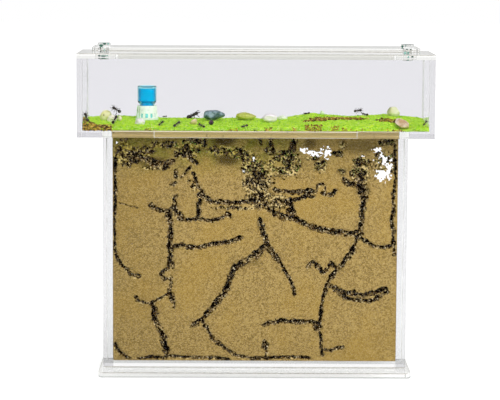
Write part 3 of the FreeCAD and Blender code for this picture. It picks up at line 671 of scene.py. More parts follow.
def tanSandMaterial():
    look = Finish("tanSand", {"Roughness": 1.0, "Specular IOR Level": 0.0})
    x, z = look.axis("X"), look.axis("Z")
    dug, broken, damp = (look.kept(name) for name in ("dug", "broken", "damp"))
    tan = look.effect(grains, {"PerMetre": 1500.0, "Dark": (0.16, 0.105, 0.032), "Light": (0.5, 0.355, 0.125),
                               "Patchiness": 0.15})
    coarse = look.noise(520.0, 4.0, 0.65)
    packed = look.mix(look.fade(coarse, 0.35, 0.7, 0.0, 0.35), tan["Color"], (0.385, 0.275, 0.095))
    warm = look.fade(look.noise(26.0, 4.0, 0.6), 0.46, 0.66, 0.0, 0.45)
    packed = look.mix(warm, packed, (0.4, 0.26, 0.055))
    shadedLeft = look.fade(x, -0.081, -0.02, 0.16, 0.0)
    packed = look.mix(shadedLeft, packed, (0.02, 0.02, 0.012))  # painted shade: darker to the left
    # the top is stained olive by the green bed above, browner to the right
    stain = look.times(look.fade(z, 0.110, 0.131), look.fade(x, 0.0, 0.04, 1.0, 0.12),
                       look.fade(look.noise(140.0, 4.0, 0.6), 0.36, 0.6, 0.4, 1.0))
    olive = look.mix(tan["Shade"], (0.085, 0.076, 0.009), (0.29, 0.26, 0.042))
    # darker in the listed patches
    stained = look.mix(look.times(damp, 0.9), look.mix(stain, packed, olive), (0.05, 0.034, 0.009))
    # crumbled sand: bright grains with dark gaps between them, the gaps painted shade
    crumb = look.effect(grains, {"PerMetre": 1080.0, "Patchiness": 0.1})["Shade"]
    speck = look.ramp(crumb, crumbStops)
    speck = look.mix(stain, speck, look.mix(1.0, speck, (0.95, 1.0, 0.5), "MULTIPLY"))
    surfaceTone = look.mix(look.fade(broken, 0.2, 0.6, 0.0, 0.9), stained, speck)
    smudged = look.fade(look.noise(130.0, 3.0, 0.6), 0.6, 0.68, 0.0, 0.75)
    rim = look.mix(smudged, (0.85, 0.66, 0.3), (0.3, 0.22, 0.1))
    surfaceTone = look.mix(look.fade(z, 0.1358, 0.1364), surfaceTone, rim)  # painted light: a paler rim along the top
    # dug faces turn from damp brown to nearly black with depth, partly painted shade in the hollows, with
    # pale grains left on them
    dampAndShaded = look.mix(look.fade(crumb, 0.2, 0.75), (0.02, 0.01, 0.003), (0.17, 0.1, 0.028))
    wetAndShaded = look.mix(look.fade(dug, 0.3, 0.65), surfaceTone, dampAndShaded)
    deep = look.mix(look.fade(dug, 1.1, 2.2), wetAndShaded, (0.010, 0.006, 0.003))
    left = look.times(look.fade(crumb, 0.76, 0.82), look.fade(dug, 0.6, 3.0, 0.95, 0.15),
                      look.fade(dug, 0.3, 0.7))
    look.set("Base Color", look.mix(left, deep, (0.52, 0.4, 0.17)))
    # painted light: a glow for the light that the floor sheet guides to the sand behind it, strongest at its
    # lower edge
    look.set("Emission Color", (0.9, 0.68, 0.27))
    paintedGlow = look.times(look.fade(z, 0.1358, 0.1361), look.fade(z, 0.1362, 0.1367, 0.42, 0.22))
    look.set("Emission Strength", look.times(paintedGlow, look.fade(smudged, 0, 1, 1, 0.4)))
    height = look.calc("ADD", look.calc("MULTIPLY_ADD", tan["Height"], 0.6), coarse)
    look.bump(height, 0.00018, 0.6)
    return look.material


# loose grains in the galleries and on the bed

def scatter(spots, sizes, tints, seed):
    # one faceted grain, copied with its own turn, size and tint
    bpy.ops.mesh.primitive_ico_sphere_add(subdivisions=1, radius=1)
    grain = bpy.context.object
    corners = points(grain) * mm
    faces = np.array([tuple(face.vertices) for face in grain.data.polygons])
    bpy.ops.object.delete()
    random = np.random.default_rng(seed)
    count = len(spots)
    turns = np.linalg.qr(random.normal(size=(count, 3, 3)))[0]
    stretch = random.uniform(0.7, 1.15, (count, 1, 3))
    shaped = np.einsum("nij,nkj->nki", turns, corners[None] * stretch) * np.asarray(sizes)[:, None, None]
    allPoints = (shaped + np.asarray(spots)[:, None]).reshape(-1, 3)
    allFaces = (faces[None] + (np.arange(count) * len(corners))[:, None, None]).reshape(-1, 3)
    mesh = bpy.data.meshes.new("grains")
    mesh.from_pydata((allPoints * mm).tolist(), [], allFaces.tolist())
    piece = bpy.data.objects.new("grains", mesh)
    scene.collection.objects.link(piece)
    keepValues(piece, "tint", np.repeat(np.asarray(tints), len(corners)))
    fixNormals(piece, 0)
    return piece


def looseGrainMaterial(name, stops, rough=0.8):
    look = Finish(name, {"Roughness": rough})
    fine = look.noise(4000.0, 3.0, 0.6)
    worn = look.fade(fine, 0.3, 0.8, 0.0, 0.45)
    look.set("Base Color", look.mix(worn, look.ramp(look.kept("tint"), stops), (0.045, 0.028, 0.006)))
    look.bump(fine, 0.00006, 0.7)
    return look.material


# counts are for the front and the rear; green is where bed sand has fallen in
nestGrains = {"counts": {-1: 4200, 1: 1200}, "sizes": (0.26, 0.48), "seeds": (8, 9), "tries": 160000,
              "reach": 79.5, "depths": (0.5, 128.5), "green": (-37, 5, 11, 5.5)}
sandStops = [(0.0, (0.02, 0.012, 0.005)), (0.14, (0.12, 0.07, 0.025)), (0.28, (0.4, 0.28, 0.1)),
             (0.4, (0.6, 0.45, 0.2)), (0.49, (0.9, 0.78, 0.5)), (0.5, (0.02, 0.02, 0.005)),
             (0.66, (0.12, 0.11, 0.018)), (0.82, (0.38, 0.36, 0.08)), (0.92, (0.62, 0.6, 0.2)),
             (0.94, (0.1, 0.26, 0.01)), (1.0, (0.36, 0.62, 0.05))]


def galleryGrains(material):
    seed, ownSeed = nestGrains["seeds"]
    random = np.random.default_rng(seed)
    tries, reach = nestGrains["tries"], nestGrains["reach"]
    allX = random.uniform(-reach, reach, tries)
    allDepths = random.uniform(*nestGrains["depths"], tries)
    spots, sizes, tints = [], [], []
    for side, seed in ((-1, slab["seed"]), (1, slab["backSeed"])):
        dug, broken = dugDepth(-side * allX, allDepths, seed)
        below = dugDepth(-side * allX, allDepths + 0.9, seed)[0]
        # grains lie where the gallery's floor or wall is near, and in crumbled sand
        ledge = (dug > 0.7) & (below < dug - 0.5)
        wish = np.where(ledge, 0.4, np.where(dug > 1.4, 0.02, 0.12 * (dug > 0.6)))
        wish = (wish + 0.4 * (broken > 0.45) * (dug < 1.2)) * (openShare(allX, allDepths) > 1.25)
        chosen = random.permutation(np.flatnonzero(random.random(tries) < wish))[:nestGrains["counts"][side]]
        count, x, depth = len(chosen), allX[chosen], allDepths[chosen]
        size = random.uniform(*nestGrains["sizes"], count)
        back = np.clip(dug[chosen] * random.uniform(0.25, 0.95, count) - 0.3 * size, size * 1.1, 9)
        spots.extend(zip(x, side * (slab["face"] - back), slab["surface"] - depth))
        sizes.extend(size)
        # olive grains high on the left, tan ones elsewhere
        olive = (depth < 22) & (x * side < 30) & (random.random(count) < 0.75)
        tint = 0.5 * random.random(count) + 0.5 * olive
        spilled = (ellipseShare(x, depth, nestGrains["green"]) < 1) & (random.random(count) < 0.55)
        tints.extend(np.where(spilled, random.uniform(0.94, 1, count), tint))
    piece = scatter(spots, sizes, tints, ownSeed)
    finishPiece(piece, "galleryGrains", material, angle=0)


# green bed in the box

bed = {"halfWidth": 96.8, "halfDepth": 21.8, "foot": 140.1, "floor": 140, "cell": 0.55, "front": 2.4,
       "rear": 4.0, "frontRise": (0.2, 0.6, 0.1, -0.1, -0.1, -0.1, 0.8, 0.3, 0.6, -0.1),
       "rearRise": (0.3, 1.2, 0.1, -0.1, -0.1, -0.1, 2.9, 1.3, 2.9, 0.2), "ripple": 0.6, "grain": 0.45,
       "settled": 0.5, "roundedOver": 2.5, "glass": -21.97, "inner": (97, 22)}
hollows = [(81.5, -18.5, 6.5, 7, 2.4), (79, 5, 6, 5, -0.9)]  # x, y, half width, half depth, how deep
# heap of dug-out soil in the front left corner: height along the front wall and how far back it reaches
heap = {"low": (-96.8, -21.8), "high": (-80, -7), "foot": 140.12, "cell": 0.4, "crumbs": 1400,
        "x": (-97, -95, -92.8, -90, -86.6, -84, -82.2, -81.2, -80.4),
        "height": (6.9, 4.8, 3.6, 3.0, 2.1, 1.8, 3.0, 2.6, 0), "bottom": 140.15, "seeds": (33, 34),
        "reach": (14, 11, 8.5, 6.5, 4.5, 3.6, 3.2, 2.6, 1), "corner": (-96.95, -21.95)}


def heapShare(x, y):  # 1 at the front wall to 0 where the heap runs out
    reach = np.interp(x, heap["x"], heap["reach"], right=0.01)
    return smooth(1.3 - (np.asarray(y) - heap["low"][1]) / reach) * (np.asarray(x) < heap["high"][0])


def heapLevel(x, y):
    lumps = 1.1 * (patchy(x, y, 2.2, 31) - 0.5) + 0.7 * (patchy(x, y, 0.9, 32) - 0.5)
    return np.interp(x, heap["x"], heap["height"], right=0) * heapShare(x, y) + lumps * heapShare(x, y)


def bedHeight(x, y):
    halfWide, halfDeep = bed["inner"]
    stations = np.linspace(-halfWide, halfWide, len(bed["frontRise"]))
    front = bed["front"] + np.interp(x, stations, bed["frontRise"])
    rear = bed["rear"] + np.interp(x, stations, bed["rearRise"])
    share = (np.asarray(y) + halfDeep) / (2 * halfDeep)
    wave = bed["ripple"] * (patchy(x, y, 7, 5) - 0.5) + bed["grain"] * (patchy(x, y, 1.1, 6) - 0.5)
    # lower along the front wall
    rounded = bed["settled"] * smooth(1 - (np.asarray(y) + bed["halfDepth"]) / bed["roundedOver"])
    level = front * (1 - share) + rear * share + wave - rounded
    for place in hollows:
        level = level - place[4] * smooth(1.4 - ellipseShare(x, np.asarray(y), place))
    covered = heapShare(x, y)
    return bed["floor"] + level * (1 - covered) + 0.4 * heapLevel(x, y) * covered


def heaped(low, high, foot, cell, level):
    # a closed piece over a rectangle; its rim goes down to the floor and is closed there by one face
    wide, deep = high[0] - low[0], high[1] - low[1]
    piece = addGrid(((low[0] + high[0]) / 2, (low[1] + high[1]) / 2, foot), wide, deep,
                    round(wide / cell), round(deep / cell))
    bpy.ops.object.mode_set(mode="EDIT")
    bpy.ops.mesh.select_mode(type="EDGE")
    bpy.ops.mesh.select_all(action="DESELECT")
    bpy.ops.mesh.select_non_manifold()
    bpy.ops.mesh.extrude_region_move(TRANSFORM_OT_translate={"value": (0, 0, -0.01)})
    bpy.ops.mesh.edge_face_add()
    bpy.ops.object.mode_set(mode="OBJECT")
    spots = points(piece)
    upper = spots[:, 2] > foot - 5
    spots[:, 2] = np.where(upper, np.maximum(level(spots[:, 0], spots[:, 1]), foot + 0.1), foot)
    movePoints(piece, spots)
    fixNormals(piece)
    return piece


def greenBed(material):
    high = (bed["halfWidth"], bed["halfDepth"])
    piece = heaped((-high[0], -high[1]), high, bed["foot"], bed["cell"], bedHeight)
    finishPiece(piece, "greenBed", material, ["green_sand"], angle=60)


def greenSandMaterial():
    look = Finish("greenSand", {"Roughness": 0.8, "Specular IOR Level": 0.15})
    dyed = look.effect(grains, {"PerMetre": 1000.0, "Dark": (0.2, 0.56, 0.002), "Light": (0.72, 1.0, 0.055),
                                "Patchiness": 0.25})
    pale = look.fade(look.noise(1100.0, 2.0), 0.6, 0.72, 0.0, 0.7)
    look.set("Base Color", look.mix(pale, dyed["Color"], (0.82, 0.98, 0.3)))
    look.bump(dyed["Height"], 0.0003, 0.6)
    return look.material


bedGrains = {"count": 3200, "front": 1500, "sizes": (0.2, 0.45), "seeds": (12, 13), "reach": (96, 21.3),
             "dense": 15}
greenStops = [(0.0, (0.14, 0.45, 0.003)), (0.4, (0.44, 0.9, 0.03)), (0.75, (0.64, 1.0, 0.09)),
              (1.0, (0.85, 0.98, 0.35))]
# brown crumbs carried out of the nest: x, y, spread along x, spread along y, how many
crumbHeaps = [(30.5, -8, 3.6, 2, 46), (35, -5, 4, 3, 70), (41, 1.5, 5, 3, 110), (47, 5.5, 5, 3, 110),
              (53, 7, 6, 3, 90), (60, 4, 3, 3, 26), (74, -3, 3.6, 4, 60), (77.5, -8, 3, 3, 40)]
# crumbs against the front wall: x from, x to, height above the box floor from, to, how many
wallCrumbs = [(27.2, 37, 0.3, 3.5, 150), (42.1, 46.3, 0.4, 2.9, 44), (48, 51, 0.4, 1.9, 22),
              (4.9, 9.1, 0.3, 1.7, 24), (19.7, 22.9, 0.2, 1.9, 24), (13.5, 15.2, 0.4, 1.6, 8),
              (-1, 0.7, 0.2, 1, 6), (-15.5, -10, 0.2, 1.5, 20), (-62, -58.6, 0.2, 1.3, 20),
              (-57.5, -54.7, 0.2, 0.8, 12), (76.2, 83.5, 0.2, 0.8, 16), (88, 92, 0.3, 1.2, 8),
              (52, 76, 0.2, 1.6, 18)]


def looseGreen(material):
    seed, ownSeed = bedGrains["seeds"]
    random = np.random.default_rng(seed)
    count = bedGrains["count"]
    x, y = (random.uniform(-reach, reach, count) for reach in bedGrains["reach"])
    size = random.uniform(*bedGrains["sizes"], count)
    level = bedHeight(x, y) + 0.25 * size
    # some lie against the front wall all the way down, but not in front of the brown crumbs
    against = np.arange(count) < bedGrains["front"]
    y = np.where(against, 0.5 * size + bed["glass"], y)
    level = np.where(against, bed["foot"] + (bedHeight(x, y) - bed["foot"]) * random.random(count), level)
    clear = heapShare(x, y) < 0.2
    for fromX, toX, _, high, brown in wallCrumbs:
        if brown > bedGrains["dense"]:
            clear &= ~(against & (x > fromX) & (x < toX) & (level < bed["floor"] + high))
    spots = np.stack([x, y, level], 1)[clear]
    piece = scatter(spots, size[clear], random.random(len(spots)), ownSeed)
    finishPiece(piece, "looseGreenGrains", material, angle=0)


brownStops = [(0.0, (0.05, 0.026, 0.001)), (0.4, (0.22, 0.125, 0.004)), (0.75, (0.52, 0.32, 0.02)),
              (1.0, (0.88, 0.66, 0.16))]

# stuck is where one crumb sits on the yellow stone, from that stone's middle
brownGrains = {"heaped": (0.35, 0.8), "walled": (0.35, 0.75), "seeds": (14, 15), "stuck": (-1.2, -2.75, 0.6),
               "stuckSize": 0.5, "deepest": 21.1}


def crumbs(material):
    seed, ownSeed = brownGrains["seeds"]
    random = np.random.default_rng(seed)
    spots, sizes, deepest = [], [], brownGrains["deepest"]
    for x, y, spreadX, spreadY, count in crumbHeaps:
        size = random.uniform(*brownGrains["heaped"], count)
        px = x + random.normal(0, spreadX / 2, count)
        py = np.clip(y + random.normal(0, spreadY / 2, count), -deepest, deepest)
        spots.extend(zip(px, py, bedHeight(px, py) + 0.3 * size + random.uniform(0, 0.5, count)))
        sizes.extend(size)
    for fromX, toX, low, high, count in wallCrumbs:
        size = random.uniform(*brownGrains["walled"], count)
        rise = low + (high - low) * random.random(count) ** 1.4
        spots.extend(zip(random.uniform(fromX, toX, count), 0.9 * size + bed["glass"], bed["floor"] + rise))
        sizes.extend(size)
    low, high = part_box("yellow_pebble")
    spots.append(((low + high) / 2) / mm + Vector(brownGrains["stuck"]))
    sizes.append(brownGrains["stuckSize"])
    piece = scatter(spots, sizes, random.random(len(sizes)), ownSeed)
    finishPiece(piece, "brownCrumbs", material, angle=0)


# heap of dug-out soil

soilStops = [(0.0, (0.012, 0.005, 0.001)), (0.34, (0.045, 0.02, 0.002)), (0.5, (0.25, 0.13, 0.008)),
             (0.72, (0.66, 0.4, 0.03)), (0.91, (1.0, 0.74, 0.16)), (0.92, (0.3, 0.65, 0.01)),
             (1.0, (0.5, 0.9, 0.04))]


def soilLevel(x, y):
    return bed["floor"] + heapLevel(x, y)


def soilHeap(material, crumbMaterial):
    piece = heaped(heap["low"], heap["high"], heap["foot"], heap["cell"], soilLevel)
    finishPiece(piece, "soilHeap", material, ["soil_heap"], angle=60)
    seed, ownSeed = heap["seeds"]
    random = np.random.default_rng(seed)
    count, bottom = heap["crumbs"], heap["bottom"]
    leftWall, frontWall = heap["corner"]
    x = random.uniform(-96.9, -80.6, count)
    y = heap["low"][1] + np.interp(x, heap["x"], heap["reach"]) * random.random(count) ** 1.3
    size = random.uniform(0.4, 0.8, count)
    level = np.maximum(soilLevel(x, y), bedHeight(x, y)) + 0.2 * size
    against = np.arange(count) < count // 2  # pressed to the front wall
    y = np.where(against, 0.5 * size + bed["glass"], np.maximum(y, size + frontWall))
    level = np.where(against, bottom + (level - bottom) * random.random(count), level)
    x = np.maximum(x, size + leftWall)
    crumbPiece = scatter(np.stack([x, y, level], 1), size, random.random(count), ownSeed)
    finishPiece(crumbPiece, "heapCrumbs", crumbMaterial, angle=0)


def soilMaterial():
    look = Finish("brownSoil", {"Roughness": 0.95})
    dirt = look.effect(grains, {"PerMetre": 1000.0, "Dark": (0.015, 0.007, 0.002),
                                "Light": (0.55, 0.34, 0.05), "Patchiness": 0.15})
    green = look.fade(look.noise(420.0), 0.55, 0.7, 0.0, 0.7)
    look.set("Base Color", look.mix(green, dirt["Color"], (0.32, 0.5, 0.02)))
    look.bump(dirt["Height"], 0.0004, 0.9)
    return look.material


# stones: half sizes, turn, lumps, colours of body, clouds and flecks, clouds per metre, share of flecks

stones = {
    "yellow_pebble": ((3.6, 3, 3.3), 10, 0.3, (0.78, 0.76, 0.3), (0.9, 0.88, 0.55), (0.5, 0.4, 0.06), 300,
                      0.1),
    "rose_pebble": ((2.9, 2.3, 2.2), -20, 0.3, (0.95, 0.86, 0.74), (0.92, 0.9, 0.7), (0.6, 0.5, 0.32), 500,
                    0.15),
    "small_rose_pebble": ((1.2, 1.1, 1.4), 15, 0.15, (0.95, 0.93, 0.72), (0.85, 0.72, 0.5), (0.4, 0.3, 0.2),
                          700, 0.1),
    "white_pebble": ((2.9, 2.3, 2.3), 5, 0.35, (0.97, 0.96, 0.93), (0.8, 0.74, 0.7), (0.5, 0.42, 0.4), 400,
                     0.12),
    "beige_chip": ((2.6, 1.7, 1.8), -15, 0.12, (0.9, 0.68, 0.5), (0.62, 0.55, 0.18), (0.95, 0.88, 0.7), 330,
                   0.15),
    "dark_bead": ((1.35, 1.35, 1.35), 0, 0.1, (0.012, 0.006, 0.012), (0.09, 0.03, 0.06), (0.2, 0.18, 0.25),
                  600, 0.02),
    "slate_pebble": ((6.6, 4, 3.1), 6, 0.3, (0.012, 0.07, 0.05), (0.3, 0.42, 0.5), (0.7, 0.8, 0.6), 400,
                     0.25),
    "olive_pebble": ((6.2, 3.4, 2.3), -8, 0.25, (0.46, 0.5, 0.03), (0.7, 0.72, 0.2), (0.25, 0.25, 0.03),
                     240, 0.15),
    "quartz_pebble": ((4.4, 3.2, 2.7), 12, 0.4, (0.98, 0.92, 0.95), (0.92, 0.86, 0.88), (0.7, 0.66, 0.62),
                      260, 0.06),
    "pale_pebble": ((2.9, 2.2, 1.6), -10, 0.25, (0.93, 0.97, 0.85), (0.75, 0.88, 0.6), (0.95, 0.95, 0.9),
                    420, 0.15),
    "green_chip": ((1.5, 1.2, 1.3), 20, 0.15, (0.72, 0.93, 0.5), (0.9, 0.97, 0.8), (0.5, 0.8, 0.3), 700,
                   0.15),
    "lime_pebble": ((4.1, 3, 3.2), 8, 0.15, (0.66, 0.67, 0.32), (0.85, 0.87, 0.62), (0.5, 0.52, 0.2), 330,
                    0.15),
    "brown_pebble": ((5.1, 3.3, 2.7), -12, 0.25, (0.56, 0.34, 0.17), (0.9, 0.72, 0.6), (0.36, 0.2, 0.08),
                     300, 0.25),
}
stoneLean = {"brown_pebble": 13}  # in degrees
stoneSoft = {"slate_pebble": 2, "lime_pebble": 1, "brown_pebble": 1}  # how many times it is smoothed
# flats worn or broken off a stone: how far out, as a share of its half size, and which way each faces
stoneFlats = {
    "yellow_pebble": [(0.88, (-0.8, 0, 0.5)), (0.9, (0.8, -0.2, 0.4))],
    "rose_pebble": [(0.8, (0.6, -0.4, 0.6)), (0.75, (-0.7, 0, 0.5)), (0.8, (0.2, -0.9, -0.3))],
    "white_pebble": [(0.8, (0.5, -0.4, 0.8)), (0.8, (-0.8, -0.4, 0.1)), (0.85, (0.4, -0.9, -0.3))],
    "beige_chip": [(0.3, (-0.62, 0.1, 0.78)), (0.7, (0.95, 0, 0.2))],
    "dark_bead": [(0.8, (0.5, -0.6, 0.6)), (0.8, (-0.7, -0.3, 0.6)), (0.8, (0.9, -0.3, -0.3))],
    "slate_pebble": [(0.84, (-0.97, 0, 0.25)), (0.78, (0.03, -0.15, 1)), (0.82, (0.4, -0.1, 0.92)),
                     (0.72, (0.3, -0.3, -0.9)), (0.75, (0.1, -1, 0.2))],
    "olive_pebble": [(0.58, (0.3, -0.1, 0.95)), (0.88, (-0.95, 0, 0.3)), (0.85, (-0.2, -0.1, 1)),
                     (0.85, (0, -0.95, 0.2))],
    "quartz_pebble": [(0.84, (1, 0, 0.1)), (0.84, (0.2, -0.1, 1)), (0.9, (-0.6, -0.2, 0.6)),
                      (0.85, (-0.2, -1, 0))],
    "pale_pebble": [(0.75, (0.5, 0, 0.85)), (0.8, (-0.3, 0, 1))],
    "green_chip": [(0.5, (0.6, -0.3, 0.7)), (0.6, (-0.8, 0, 0.4))],
    "lime_pebble": [(0.72, (-0.9, -0.1, 0.42)), (0.7, (0.8, 0, 0.5)), (0.8, (0.1, -0.9, 0.4)),
                    (0.88, (0, 0, 1))],
    "brown_pebble": [(0.6, (0.35, -0.2, 0.93)), (0.72, (-1, 0, -0.05)), (0.6, (-0.5, 0, -0.88)),
                     (0.8, (0.95, 0, 0.25)), (0.7, (0.1, -1, 0.15)), (0.78, (-0.6, -0.6, 0.6))],
}
stoneShifts = {"rose_pebble": (-1.3, 0, 0.1), "white_pebble": (0, 0, -0.6), "slate_pebble": (-0.8, 0, 0.5),
               "olive_pebble": (-0.9, 0, 0.3), "quartz_pebble": (0.4, 0, 0.2), "lime_pebble": (0.4, 0, 0.9),
               "brown_pebble": (0, -1.2, -0.7)}


def buildStone(node, half, turn, lump, *skin):
    low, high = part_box(node)
    bpy.ops.mesh.primitive_ico_sphere_add(subdivisions=5, radius=1)
    piece = bpy.context.object
    for share, normal in stoneFlats.get(node, []):
        way = Vector(value * size for value, size in zip(normal, half)).normalized()
        editAll(piece, bpy.ops.mesh.bisect, plane_co=way * share, plane_no=way, use_fill=True,
                clear_outer=True)
    radii = Vector(half) * mm
    piece.scale = radii
    piece.rotation_euler = (0, math.radians(stoneLean.get(node, 0)), math.radians(turn))
    settle(piece)
    if node in stoneFlats:
        modify(piece, "REMESH", mode="VOXEL", voxel_size=min(radii) / 13)
        modify(piece, "SMOOTH", factor=0.5, iterations=stoneSoft.get(node, 4))
    for kind, size, strength in (("Lumps", max(radii) * 0.9, lump * 2.2), ("Pits", 0.6 * mm, 0.12)):
        relief = bpy.data.textures.new(node + kind, "CLOUDS")
        relief.noise_scale = size
        modify(piece, "DISPLACE", texture=relief, strength=strength * mm, mid_level=0.5,
               texture_coords="LOCAL")
    piece.location = (low + high) / 2 + Vector(stoneShifts.get(node, (0, 0, 0))) * mm
    first, *others = node.split("_")
    name = first + "".join(word.capitalize() for word in others)
    finishPiece(piece, name, stoneMaterial(name + "Skin", *skin), [node], angle=60)


def stoneMaterial(name, body, cloud, fleck, clouds, share):
    look = Finish(name, {"IOR": 1.5})
    skin = look.effect(stoneSkin, {"Body": body, "Cloud": cloud, "Fleck": fleck,
                                   "CloudsPerMetre": float(clouds), "FleckShare": share})
    look.set("Base Color", skin["Color"])
    look.set("Roughness", skin["Roughness"])
    look.bump(skin["Height"], 0.0002, 0.6)
    return look.material


# drinker: bottle and water, the ring of water in the trough behind the stand's windows, and the stand's ribs

drinker = {"centre": (-62, 7), "lip": 148.2, "neckTop": 152.8, "rim": 163.2, "radius": 5.4, "neck": 4.2,
           "wall": 0.5, "gap": 0.05, "ribs": 12, "ribSize": (0.28, 0.45, 6.6), "ribRadius": 5.78,
           "ribHeight": 148.25, "ribLean": -5.1, "trough": (4.32, 4.8), "troughLevel": (145.15, 147.65),
           "creep": 0.15}


def drinkerBottle(material, waterMaterial):
    lip, neckTop, rim = drinker["lip"], drinker["neckTop"], drinker["rim"]
    outer, neck, wall, gap = drinker["radius"], drinker["neck"], drinker["wall"], drinker["gap"]
    bore = neck - wall
    shell = [(bore, lip), (neck - 0.12, lip), (neck, lip + 0.12), (neck, neckTop - 0.3),
             (neck + 0.25, neckTop), (outer - 0.5, neckTop + 0.75), (outer - 0.12, neckTop + 1.15),
             (outer, neckTop + 1.7), (outer, rim - 0.35), (outer - 0.1, rim - 0.1), (outer - 0.35, rim),
             (outer - 0.75, rim), (outer - 1.0, rim - 0.25), (outer - 1.2, rim - 0.7),
             (outer - 1.6, rim - 0.85), (0, rim - 0.7),
             (0, rim - 1.2), (outer - 1.5, rim - 1.35), (outer - wall - 0.15, rim - 1.3),
             (outer - wall, rim - 1.6), (outer - wall, neckTop + 1.75), (outer - wall - 0.5, neckTop + 1.3),
             (bore, neckTop + 0.5), (bore, lip)]
    finishPiece(lathe(shell, drinker["centre"]), "drinkerBottle", material,
                ["drinker_bottle"], angle=35, body="bottle")
    inner = outer - wall - gap
    fill = [(0, lip + 0.1), (bore - gap, lip + 0.1), (bore - gap, neckTop + 0.55),
            (inner - 0.5, neckTop + 1.4), (inner, neckTop + 1.85), (inner, rim - 1.75),
            (inner - 0.2, rim - 1.5), (0, rim - 1.4)]
    finishPiece(lathe(fill, drinker["centre"]), "drinkerWater", waterMaterial,
                ["drinker_water"], angle=35, body="bottle")


def drinkerTrough(waterMaterial):
    (near, far), (low, high) = drinker["trough"], drinker["troughLevel"]
    creep = drinker["creep"]  # the water creeps up both walls
    ring = [(near, low), (far, low), (far, high), (far - creep, high - creep), (near + creep, high - creep),
            (near, high), (near, low)]
    finishPiece(lathe(ring, drinker["centre"]), "troughWater", waterMaterial, angle=35)


def bottleMaterial():
    look = Finish("bluePlastic", {"IOR": 1.3, "Transmission Weight": 1.0, "Specular Tint": (0.05, 0.2, 0.25)})
    # painted shade: darker teal at the edges that turn away
    edge = look.fade(look.facing(0.3), 0.3, 0.7)
    look.set("Base Color", look.mix(edge, (0.46, 0.96, 1.0), (0.01, 0.42, 0.52)))
    look.set("Roughness", look.fade(look.noise(700.0), 0.3, 0.7, 0.0, 0.08))
    look.lightThrough((0.9, 0.98, 1.0))
    return look.material


def waterMaterial(name, dark, light, glow):
    look = Finish(name, {"IOR": 1.33, "Transmission Weight": 0.5, "Roughness": 0.08,
                         "Specular Tint": (0.0, 0.1, 0.15)})
    shade = look.noise(420.0, 3.0, 0.6, look.stretched(0.35))
    # painted shade: darker at the edges that turn away
    side = look.fade(look.facing(), 0.3, 0.75)
    tone = look.mix(look.fade(shade, 0.3, 0.7), dark, light)
    look.set("Base Color", look.mix(side, tone, (0.0, 0.13, 0.22)))
    # painted light: a faint glow from within the water
    look.set("Emission Color", look.mix(side, glow, (0.0, 0.12, 0.2)))
    look.set("Emission Strength", look.fade(shade, 0.3, 0.7, 0.12, 0.22))
    look.bump(look.noise(500.0, 1.0), 0.0001, 0.3)
    return look.material


def milkyMaterial(name, dark, light, deep):
    look = Finish(name, {"IOR": 1.46, "Transmission Weight": 0.3, "Specular Tint": (0.4, 0.4, 0.4)})
    cloudy = look.noise(420.0, 3.0, 0.6)
    tone = look.mix(look.fade(cloudy, 0.3, 0.7), dark, light)
    rightward = look.fade(look.axis("X"), -0.0672, -0.0615)
    tone = look.mix(rightward, tone, (0.97, 1.0, 0.95))  # greener to the left
    look.set("Roughness", look.fade(cloudy, 0.2, 0.8, 0.22, 0.5))
    look.bump(cloudy, 0.0001, 0.5)
    # painted shade: deeper colour at the edges that turn away
    look.set("Base Color", look.mix(look.fade(look.facing(), 0.45, 0.95, 0.0, 0.75), tone, deep))
    # painted light: a faint glow from within the plastic
    look.set("Emission Color", (0.9, 1.0, 0.88))
    look.set("Emission Strength", look.fade(cloudy, 0.2, 0.8, 0.08, 0.16))
    look.lightThrough((0.82, 0.85, 0.8))
    return look.material


def drinkerRibs(material):
    x, y = drinker["centre"]
    ribs = []
    for step in range(drinker["ribs"]):
        turn = 2 * math.pi * (step + 0.5) / drinker["ribs"]
        bpy.ops.mesh.primitive_cube_add(size=1)
        rib = bpy.context.object
        rib.scale = [size * mm for size in drinker["ribSize"]]
        settle(rib)
        editAll(rib, bpy.ops.mesh.bevel, offset=0.1 * mm, segments=2)
        rib.rotation_euler = (math.radians(drinker["ribLean"]), 0, 0)
        settle(rib)
        rib.location = ((x + drinker["ribRadius"] * math.sin(turn)) * mm,
                        (y - drinker["ribRadius"] * math.cos(turn)) * mm, drinker["ribHeight"] * mm)
        rib.rotation_euler = (0, 0, turn)
        settle(rib)
        ribs.append(rib)
    finishPiece(join(ribs), "drinkerRibs", material)


# glue: cloudy films beside the nest's tabs, pale beads along the joints, and grey lines along the edges of
# sheets; the films have a painted glow

glue = {"film": 0.05, "bead": 0.18, "wall": -22.02, "front": -24.96, "rear": 24.9}


def glueStrip(low, high, thick):
    middle = [(low[axis] + high[axis]) / 2 for axis in range(3)]
    strip = addGrid(middle, high[0] - low[0], high[2] - low[2], 24, 4, upright=True)
    editAll(strip, bpy.ops.mesh.extrude_region_move, TRANSFORM_OT_translate={"value": (0, thick * mm, 0)})
    fixNormals(strip)
    return strip


def finishStrips(strips, name, material, body):
    pieces = [glueStrip((fromX, y, low), (toX, y, high), thick) for fromX, toX, y, low, high, thick in strips]
    finishPiece(join(pieces), name, material, angle=50, body=body)


